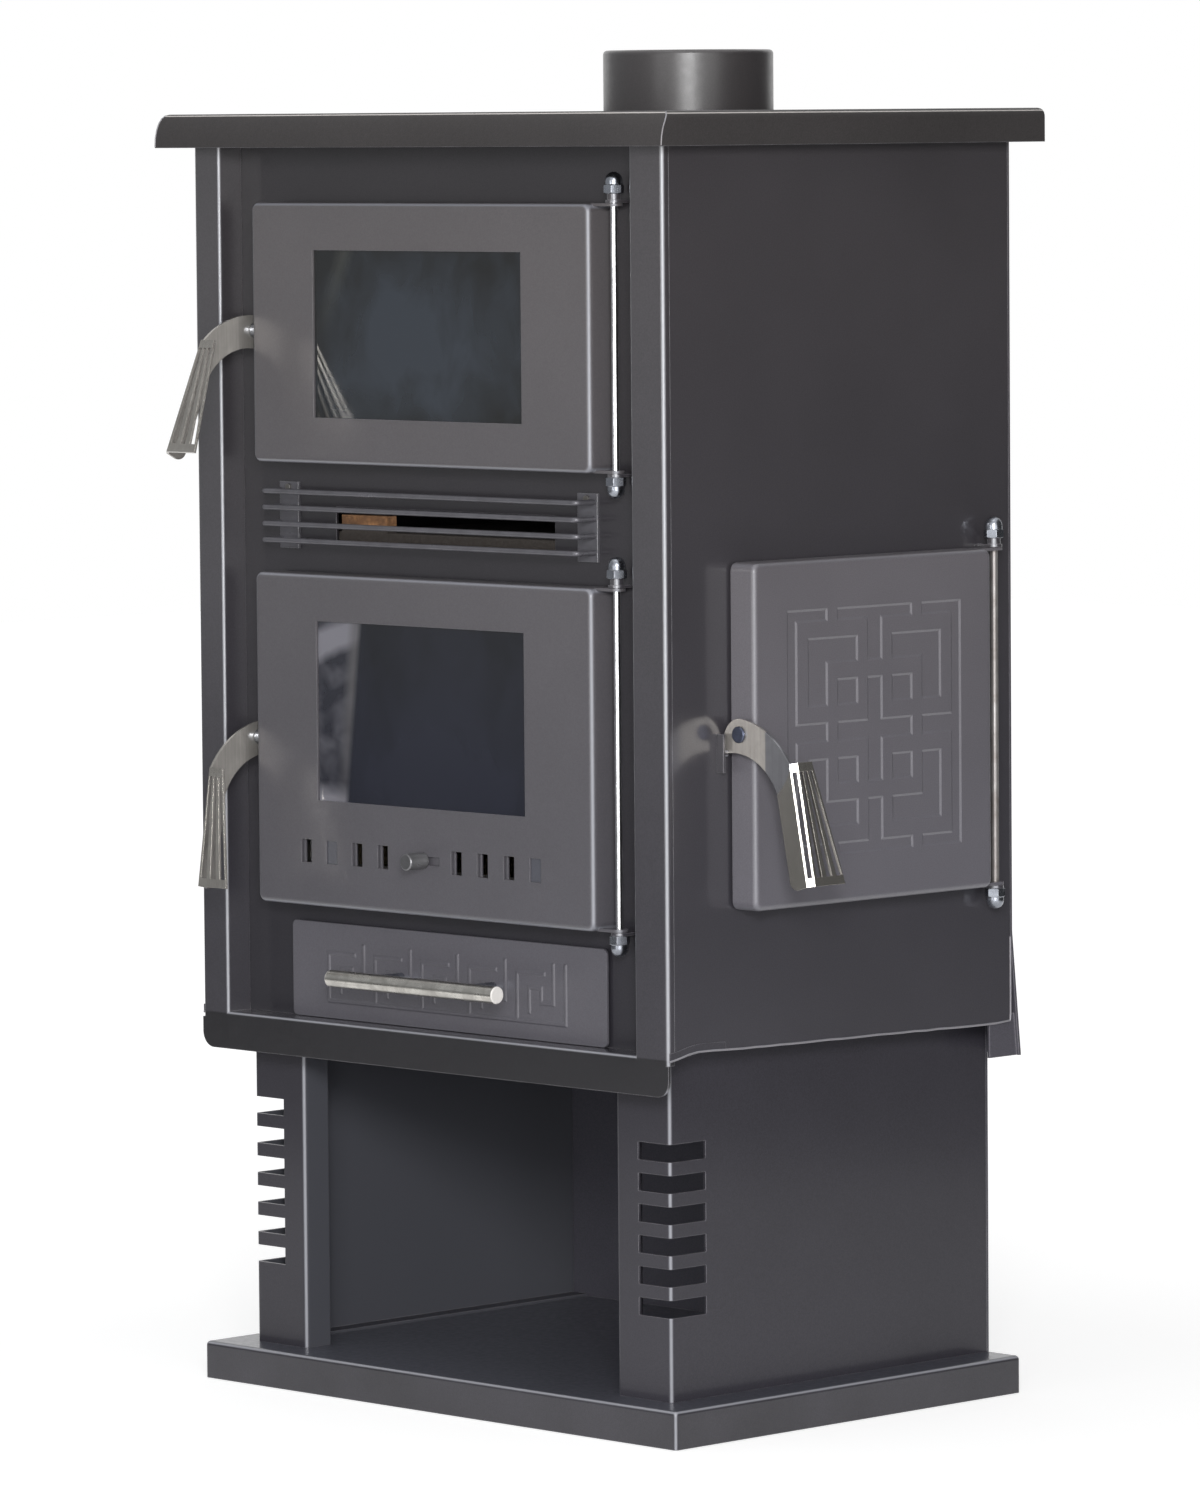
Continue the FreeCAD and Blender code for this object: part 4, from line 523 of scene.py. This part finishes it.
nodeFinishes = [
    (bodyPaint, ["body_floor", "left_side_panel", "right_side_panel", "hinge_lugs", "latch_keepers"]),
    (rearPaint, ["rear_panel"]),
    (framePaint, ["front_frame"]),
    (fluePaint, ["flue_collar"]),
    (storePaint, ["wood_store_right"]),
    (storeLeftPaint, ["wood_store_left"]),
    (storeBackPaint, ["wood_store_back"]),
    (plinthPaint, ["plinth", "plinth_stiffener"]),
    (panelPaint, ["front_panel"]),
    (hobPaint, ["hob_top"]),
    (wireSteel, ["grille_wires", "grille_strips"]),
    (doorPaint, ["oven_door_pan", "fire_door_pan", "air_slide"]),
    (fuelDoorPaint, ["fuel_door_pan"]),
    (drawerPaint, ["drawer_front"]),
    (knobSteel, ["air_knob"]),
    (rodSteel, ["oven_hinge_rod", "fire_hinge_rod", "oven_rack"]),
    (sideRodSteel, ["fuel_hinge_rod"]),
    (nutSteel, ["acorn_nuts", "drawer_posts", "oven_handle_bolt", "fire_handle_bolt"]),
    (boltSteel, ["fuel_handle_bolt"]),
    (leverSteels["oven"], ["oven_handle"]),
    (leverSteels["fire"], ["fire_handle"]),
    (leverSteels["fuel"], ["fuel_handle"]),
    (barSteel, ["drawer_bar"]),
    (innerSteel, ["oven_box", "ash_channel", "firebox_shell", "fuel_chute", "drawer_box",
                  "drawer_runners", "oven_door_liner", "fire_door_liner", "fuel_door_liner",
                  "oven_glass_frame", "fire_glass_frame", "air_slide_guides", "grille_rivets"]),
    (castIron, ["cooking_plate", "grate"]),
    (ovenGlass, ["oven_door_glass"]),
    (fireGlass, ["fire_door_glass"]),
    (firebrick, ["firebrick_left", "firebrick_back", "firebrick_right"]),
    (flakeBoard, ["insulation_board"]),
]
for material, names in nodeFinishes:
    for name in names:
        for materialSlot in nodes[name].material_slots:
            materialSlot.material = material
print("frame nodes dressed")


def makePiece(name, made, material, body):
    mesh = bpy.data.meshes.new(name)
    made.to_mesh(mesh)
    made.free()
    mesh.materials.append(material)
    piece = bpy.data.objects.new(name, mesh)
    bpy.context.scene.collection.objects.link(piece)
    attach(piece, body)
    return piece


# braided rope in the three doors
rope = {"inset": 0.0045, "halfWidth": 0.0044, "halfDepth": 0.0040, "strand": 0.00115, "weave": 0.0004,
        "pairs": 6, "pitch": 0.022, "step": 0.0017, "corner": 0.0065, "cornerSteps": 6}


def roundedPath(a0, a1, z0, z1, corner, step):
    # closed loop of (a, z, outward a, outward z), evenly spaced
    loop = []
    centres = [(a1 - corner, z1 - corner, 0), (a0 + corner, z1 - corner, 90),
               (a0 + corner, z0 + corner, 180), (a1 - corner, z0 + corner, 270)]
    for ca, cz, start in centres:
        for k in range(rope["cornerSteps"] + 1):
            angle = math.radians(start + 90 * k / rope["cornerSteps"])
            loop.append((ca + corner * math.cos(angle), cz + corner * math.sin(angle),
                         math.cos(angle), math.sin(angle)))
    points = []
    for k, here in enumerate(loop):
        there = loop[(k + 1) % len(loop)]
        length = math.dist(here[:2], there[:2])
        count = max(1, round(length / step))
        for n in range(count):
            t = n / count
            points.append([p + (q - p) * t for p, q in zip(here, there)])
    return points


def makeRope(name, node, body, sideways):
    low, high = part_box(node)
    axis = 1 if sideways else 0
    a0, a1 = low[axis] + rope["inset"], high[axis] - rope["inset"]
    z0, z1 = low.z + rope["inset"], high.z - rope["inset"]
    depth = (low[1 - axis] + high[1 - axis]) / 2
    points = roundedPath(a0, a1, z0, z1, rope["corner"], rope["step"])
    lengths = [0.0]
    for k in range(len(points)):
        lengths.append(lengths[-1] + math.dist(points[k][:2], points[(k + 1) % len(points)][:2]))
    turns = round(lengths[-1] / rope["pitch"])
    curve = bpy.data.curves.new(name, "CURVE")
    curve.dimensions = "3D"
    curve.bevel_depth = rope["strand"]
    curve.bevel_resolution = 1

    def addStrand(radiusAt):
        spline = curve.splines.new("POLY")
        spline.points.add(len(points) - 1)
        spline.use_cyclic_u = True
        for k, (a, z, outA, outZ) in enumerate(points):
            across, deep = radiusAt(lengths[k] / lengths[-1])
            spot = [a + outA * across, z + outZ * across, depth + deep]
            x, y = (spot[2], spot[0]) if sideways else (spot[0], spot[2])
            spline.points[k].co = (x, y, spot[1], 1)

    for direction in (1, -1):
        for k in range(rope["pairs"]):
            def radiusAt(t, direction=direction, k=k):
                angle = direction * 2 * math.pi * turns * t + 2 * math.pi * k / rope["pairs"]
                lift = direction * rope["weave"] * math.cos(2 * math.pi * turns * rope["pairs"] * t)
                wide = rope["halfWidth"] - rope["strand"] - rope["weave"] + lift
                deep = rope["halfDepth"] - rope["strand"] - rope["weave"] + lift
                return wide * math.cos(angle), deep * math.sin(angle)
            addStrand(radiusAt)
    holder = bpy.data.objects.new(name + "Curve", curve)
    mesh = bpy.data.meshes.new_from_object(holder)
    core = bpy.data.curves.new(name + "Core", "CURVE")
    core.dimensions = "3D"
    core.bevel_depth = rope["halfDepth"] - 2 * rope["strand"]
    core.bevel_resolution = 2
    curve = core
    addStrand(lambda t: (0.0, 0.0))
    coreHolder = bpy.data.objects.new(name + "CoreCurve", core)
    coreMesh = bpy.data.meshes.new_from_object(coreHolder)
    made = bmesh.new()
    made.from_mesh(mesh)
    made.from_mesh(coreMesh)
    bpy.data.objects.remove(holder)
    bpy.data.objects.remove(coreHolder)
    piece = makePiece(name, made, ropeFibre, body)
    for face in piece.data.polygons:
        face.use_smooth = True
        face.material_index = 0
    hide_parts(node)


makeRope("ovenDoorRope", "oven_door_seal", "oven_door", False)
makeRope("fireDoorRope", "fire_door_seal", "fire_door", False)
makeRope("fuelDoorRope", "fuel_door_seal", "fuel_door", True)
print("rope seals braided")


# hexagon screws
screw = {"flange": 0.0046, "flangeHeight": 0.0008, "hex": 0.0032, "hexHeight": 0.0028, "soft": 0.0006,
         "frameInset": 0.005, "rearInset": 0.012, "rearFlare": 0.0086,
         "rearHeights": (0.345, 0.4725, 0.600, 0.7275, 0.855)}


def addScrew(made, spot, direction):
    # flange and hexagon head, standing on its spot
    turn = Vector((0, 0, 1)).rotation_difference(Vector(direction)).to_matrix().to_4x4()
    base = Matrix.Translation(spot) @ turn
    new = []
    for segments, radius, low, height in ((24, screw["flange"], 0.0, screw["flangeHeight"]),
                                          (6, screw["hex"], screw["flangeHeight"], screw["hexHeight"])):
        centre = base @ Matrix.Translation((0, 0, low + height / 2))
        shape = bmesh.ops.create_cone(made, cap_ends=True, segments=segments, radius1=radius,
                                      radius2=radius, depth=height, matrix=centre)
        new += shape["verts"]
    top = [e for e in made.edges if all(v in new for v in e.verts) and all(
        (base.inverted() @ v.co).z > screw["flangeHeight"] + screw["hexHeight"] * 0.9 for v in e.verts)]
    bmesh.ops.bevel(made, geom=top, offset=screw["soft"], segments=2, profile=0.5, affect="EDGES",
                    material=-1)


def makeScrews(name, body, spots, direction):
    made = bmesh.new()
    for spot in spots:
        addScrew(made, Vector(spot), direction)
    makePiece(name, made, rodSteel, body)


def frameSpots(node):
    low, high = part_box(node)
    inset = screw["frameInset"]
    return [(x, high.y, z) for x in (low.x + inset, (low.x + high.x) / 2, high.x - inset)
            for z in (low.z + inset, high.z - inset)]


makeScrews("ovenFrameScrews", "oven_door", frameSpots("oven_glass_frame"), (0, 1, 0))
makeScrews("fireFrameScrews", "fire_door", frameSpots("fire_glass_frame"), (0, 1, 0))
rearLow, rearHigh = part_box("rear_panel")
rearSpots = [(x, rearHigh.y - screw["rearFlare"], z)
             for x in (rearLow.x + screw["rearInset"], rearHigh.x - screw["rearInset"])
             for z in screw["rearHeights"]]
makeScrews("rearScrews", "casing", rearSpots, (0, 1, 0))
print("screws set")


# pale beads on the side sheets' cut edges, lapped over the front frame's corner, and on the hob's front
# mitres: partly the bare edge, partly painted highlight. "front" is a lap's drop at places along y; "mitre" is
# inset, depth and height up the rim.
beads = {"radius": 0.0008, "mitreRadius": 0.0005, "sides": 10, "lap": 0.0055, "lapEnd": -0.110,
         "wave": 0.00022, "slope": 0.0056, "lapThick": 0.0003, "step": 0.012, "steps": 23,
         "rearGap": 0.004, "rearRises": (0.006, 0.015, 0.024, 0.033, 0.042, 0.051, 0.060),
         "corner": (-0.0006, 0.0012),
         "front": [(-0.1685, -0.0046), (-0.160, -0.0030), (-0.150, -0.0008), (-0.141, 0.0006),
                   (-0.128, 0.0005), (-0.115, 0.0002)],
         "mitre": [(0.0, 0.0, 0.0005), (0.0, 0.0005, 0.0069), (0.0, 0.0020, 0.0129),
                   (0.0, 0.0038, 0.0169), (0.0008, 0.0059, 0.0204), (0.0030, 0.0077, 0.0226)]}
edgePaint = makePaint("paleEdgePaint", paints["cutEdge"])


def addBead(made, points, radius):
    # a thin round bead along the points
    ahead = [(b - a).normalized() for a, b in zip(points, points[1:])]
    ring = None
    for k, spot in enumerate(points):
        along = (ahead[max(k - 1, 0)] + ahead[min(k, len(ahead) - 1)]).normalized()
        turn = Vector((0, 0, 1)).rotation_difference(along).to_matrix()
        if ring is None:
            ring = bmesh.ops.create_circle(made, cap_ends=True, segments=beads["sides"], radius=radius,
                                           matrix=Matrix.Translation(spot) @ turn.to_4x4())["verts"]
            face = ring[0].link_faces[0]
        else:
            grown = bmesh.ops.extrude_face_region(made, geom=[face])
            face = [f for f in grown["geom"] if isinstance(f, bmesh.types.BMFace)][0]
            bmesh.ops.rotate(made, cent=last, matrix=(turn @ lastTurn.inverted()), verts=face.verts)
            bmesh.ops.translate(made, vec=spot - last, verts=face.verts)
        last, lastTurn = spot, turn
    bmesh.ops.recalc_face_normals(made, faces=made.faces)


def dropAt(y):
    # how far the lapped corner hangs below the side sheet's straight edge
    for (y0, drop0), (y1, drop1) in zip(beads["front"], beads["front"][1:]):
        if y0 <= y <= y1:
            return drop0 + (drop1 - drop0) * (y - y0) / (y1 - y0)
    return 0.0


random.seed(7)
sideLow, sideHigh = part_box("right_side_panel")
slopeDrop = beads["slope"] / (sideHigh.y - sideLow.y)
edgeRuns = [spot[0] for spot in beads["front"]]
edgeRuns += [beads["lapEnd"] + beads["step"] * k for k in range(1, beads["steps"] + 1)]
edgeLine = [(y, sideLow.z + beads["slope"] - slopeDrop * (y - sideLow.y) + dropAt(y)
             + random.uniform(-1, 1) * beads["wave"]) for y in edgeRuns if y < sideHigh.y - beads["rearGap"]]
made = bmesh.new()
for side in (1, -1):
    x = side * sideHigh.x
    points = [Vector((x, y, z)) for y, z in edgeLine]
    points.append(Vector((x, sideHigh.y + beads["corner"][0], sideLow.z + beads["corner"][1])))
    points += [Vector((x, sideHigh.y + random.uniform(-0.5, 0.5) * beads["wave"], sideLow.z + rise))
               for rise in beads["rearRises"]]
    addBead(made, points, beads["radius"])
makePiece("sideEdgeBeads", made, edgePaint, "casing")

made = bmesh.new()
hobLow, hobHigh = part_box("hob_top")
for side in (1, -1):
    points = [Vector((side * (hobHigh.x - inset), hobLow.y + back, hobLow.z + up))
              for inset, back, up in beads["mitre"]]
    addBead(made, points, beads["mitreRadius"])
makePiece("hobMitreBeads", made, edgePaint, "casing")

# the side sheet's lower front corner, lapped down over the frame's turned edge
made = bmesh.new()
for side in (1, -1):
    lapLine = [(y, z) for y, z in edgeLine if y <= beads["lapEnd"]]
    low = [made.verts.new((side * sideHigh.x, y, z)) for y, z in lapLine]
    edges = [made.edges.new(pair) for pair in zip(low, low[1:])]
    grown = bmesh.ops.extrude_edge_only(made, edges=edges)
    lifted = [v for v in grown["geom"] if isinstance(v, bmesh.types.BMVert)]
    bmesh.ops.translate(made, vec=(0, 0, beads["lap"]), verts=lifted)
    lapFaces = [f for f in made.faces if (f.calc_center_median().x > 0) == (side > 0)]
    grown = bmesh.ops.extrude_face_region(made, geom=lapFaces)
    moved = [v for v in grown["geom"] if isinstance(v, bmesh.types.BMVert)]
    bmesh.ops.translate(made, vec=(side * beads["lapThick"], 0, 0), verts=moved)
bmesh.ops.recalc_face_normals(made, faces=made.faces)
makePiece("sideCornerLaps", made, bodyPaint, "casing")
print("cut edges beaded")

# two of the eight air slots are blanked from inside the face
shutters = {"centres": (-0.0943, 0.1097), "size": (0.0104, 0.0008, 0.0160), "front": 0.0010, "soft": 0.0001}
made = bmesh.new()
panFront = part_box("fire_door_pan")[0].y
knobLow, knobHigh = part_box("air_knob")
for x in shutters["centres"]:
    size = Vector(shutters["size"])
    spot = Vector((x, panFront + shutters["front"] + size.y / 2, (knobLow.z + knobHigh.z) / 2))
    placed = Matrix.Translation(spot) @ Matrix.Diagonal(size).to_4x4()
    new = bmesh.ops.create_cube(made, size=1, matrix=placed)
    edges = list({e for v in new["verts"] for e in v.link_edges})
    bmesh.ops.bevel(made, geom=edges, offset=shutters["soft"], segments=1, profile=0.5, affect="EDGES",
                    material=-1)
makePiece("airSlotShutters", made, shutterPaint, "fire_door")
print("air slots blanked")

# camera at the photograph's angle
cameraLook = {"azimuth": 45.59, "elevation": 4.46, "roll": -0.46, "lens": 196.0,
              "sensor": 36.0, "farEnd": 60.0, "place": (4.079948, -3.999027, 0.895236)}
azimuth, elevation = math.radians(cameraLook["azimuth"]), math.radians(cameraLook["elevation"])
roll = math.radians(cameraLook["roll"])
back = Vector((math.sin(azimuth) * math.cos(elevation), -math.cos(azimuth) * math.cos(elevation),
               math.sin(elevation)))
levelRight = Vector((math.cos(azimuth), math.sin(azimuth), 0))
levelUp = back.cross(levelRight)
right = math.cos(roll) * levelRight + math.sin(roll) * levelUp
up = -math.sin(roll) * levelRight + math.cos(roll) * levelUp
cameraData = bpy.data.cameras.new("photoCamera")
cameraData.lens = cameraLook["lens"]
cameraData.sensor_width = cameraLook["sensor"]
cameraData.clip_end = cameraLook["farEnd"]
camera = bpy.data.objects.new("photoCamera", cameraData)
bpy.context.scene.collection.objects.link(camera)
turned = Matrix((right, up, back)).transposed().to_4x4()
camera.matrix_world = Matrix.Translation(cameraLook["place"]) @ turned
bpy.context.scene.camera = camera

# studio
studio = {"floorSize": 14.0, "floorDrop": 0.0005, "floorRough": 0.9, "floorSpecular": 0.1,
          "floorTone": (0.62, 0.62, 0.62, 1), "worldDiffuse": 0.30,
          "fadeStart": 0.45, "fadeEnd": 1.6, "liftNear": 0.68, "liftFar": 0.88,
          "lamps": [
              ("keyLamp", (3.3, -3.1, 1.65), (0, 0, 0.60), 0.8, 0.8, 80.0),
              ("frontLamp", (4.45, -4.36, 1.15), (0, 0, 0.60), 2.4, 2.2, 130.0),
              ("topLamp", (0.3, -0.5, 3.0), (0, 0, 0.60), 1.6, 1.6, 9.0),
              ("leftLamp", (-0.2, -4.0, 0.55), (0, 0, 0.40), 1.8, 0.8, 26.0),
              ("rightLamp", (4.0, -0.6, 0.6), (0, 0, 0.40), 1.4, 0.8, 6.0),
          ]}


def makeLamp(name, spot, aim, width, height, power):
    data = bpy.data.lights.new(name, "AREA")
    data.shape = "RECTANGLE"
    data.size = width
    data.size_y = height
    data.energy = power
    lamp = bpy.data.objects.new(name, data)
    bpy.context.scene.collection.objects.link(lamp)
    lamp.location = spot
    lamp.rotation_euler = (Vector(aim) - Vector(spot)).to_track_quat("-Z", "Y").to_euler()
    lamp.visible_camera = False


for lamp in studio["lamps"]:
    makeLamp(*lamp)

world = bpy.data.worlds.new("studioWorld")
bpy.context.scene.world = world
world.use_nodes = True
worldTree = world.node_tree
worldTree.nodes.clear()
path = addNode(worldTree, "LightPath").outputs
seen = combine(worldTree, "MAXIMUM", path["Is Camera Ray"],
               combine(worldTree, "MAXIMUM", path["Is Glossy Ray"], path["Is Transmission Ray"]))
strength = spread(worldTree, seen, 0.0, 1.0, studio["worldDiffuse"], 1.0)
light = addNode(worldTree, "Background", {"Color": (1, 1, 1, 1), "Strength": strength})
addNode(worldTree, "OutputWorld", {"Surface": light.outputs[0]})

floorMesh = bpy.data.meshes.new("studioFloor")
flat = bmesh.new()
bmesh.ops.create_grid(flat, x_segments=1, y_segments=1, size=studio["floorSize"] / 2)
flat.to_mesh(floorMesh)
flat.free()
floor = bpy.data.objects.new("studioFloor", floorMesh)
bpy.context.scene.collection.objects.link(floor)
floor.location.z = -studio["floorDrop"]
floorMaterial, floorTree, floorShader = startMaterial("paleFloor")
floorShader.inputs["Base Color"].default_value = studio["floorTone"]
floorShader.inputs["Roughness"].default_value = studio["floorRough"]
floorShader.inputs["Specular IOR Level"].default_value = studio["floorSpecular"]
floorPath = addNode(floorTree, "LightPath").outputs
floorPoint = addNode(floorTree, "TexCoord").outputs["Object"]
away = addNode(floorTree, "VectorMath", {0: floorPoint}, operation="LENGTH").outputs["Value"]
fade = spread(floorTree, away, studio["fadeStart"], studio["fadeEnd"], studio["liftNear"], studio["liftFar"])
floorSeen = combine(floorTree, "MAXIMUM", floorPath["Is Camera Ray"], combine(
    floorTree, "MAXIMUM", floorPath["Is Glossy Ray"], floorPath["Is Transmission Ray"]))
lift = combine(floorTree, "MULTIPLY", floorSeen, fade)
floorShader.inputs["Emission Color"].default_value = (1, 1, 1, 1)
floorTree.links.new(lift, floorShader.inputs["Emission Strength"])
floorMesh.materials.append(floorMaterial)

# two standing cards, left and right of the camera's view, that the flat sides reflect
cards = {"width": 3.2, "height": 2.2, "distance": 1.5,
         "tones": {"leftCard": (-1, 0.46, 0.05), "rightCard": (1, 0.06, 0.03)},
         "fadeLow": 0.11, "fadeHigh": 0.45, "glow": (0.96, 0.98, 1.0, 1), "paint": (0.02, 0.02, 0.02, 1),
         "rough": 0.95}
for name, (side, highTone, lowTone) in cards["tones"].items():
    cardMesh = bpy.data.meshes.new(name)
    flat = bmesh.new()
    spot = levelRight * side * cards["distance"] + Vector((0, 0, cards["height"] / 2))
    turnCard = Matrix((levelRight.cross(Vector((0, 0, 1))), Vector((0, 0, 1)), levelRight)).transposed()
    bmesh.ops.create_grid(flat, x_segments=1, y_segments=1, size=0.5)
    bmesh.ops.scale(flat, vec=(cards["width"], cards["height"], 1), verts=flat.verts)
    bmesh.ops.transform(flat, matrix=Matrix.Translation(spot) @ turnCard.to_4x4(), verts=flat.verts)
    flat.to_mesh(cardMesh)
    flat.free()
    card = bpy.data.objects.new(name, cardMesh)
    bpy.context.scene.collection.objects.link(card)
    cardMaterial, cardTree, cardShader = startMaterial(name)
    height = axes(cardTree, addNode(cardTree, "TexCoord").outputs["Object"])["Z"]
    mottled = combine(cardTree, "ADD", height, noise(cardTree, place(cardTree), 2.0, 2.0))
    tone = spread(cardTree, mottled, cards["fadeLow"] + 0.5, cards["fadeHigh"] + 0.5, lowTone, highTone)
    cardShader.inputs["Base Color"].default_value = cards["paint"]
    cardShader.inputs["Emission Color"].default_value = cards["glow"]
    cardTree.links.new(tone, cardShader.inputs["Emission Strength"])
    cardShader.inputs["Roughness"].default_value = cards["rough"]
    cardMesh.materials.append(cardMaterial)
    card.visible_camera = False
bpy.context.scene.view_settings.view_transform = "Standard"
print("studio lit")
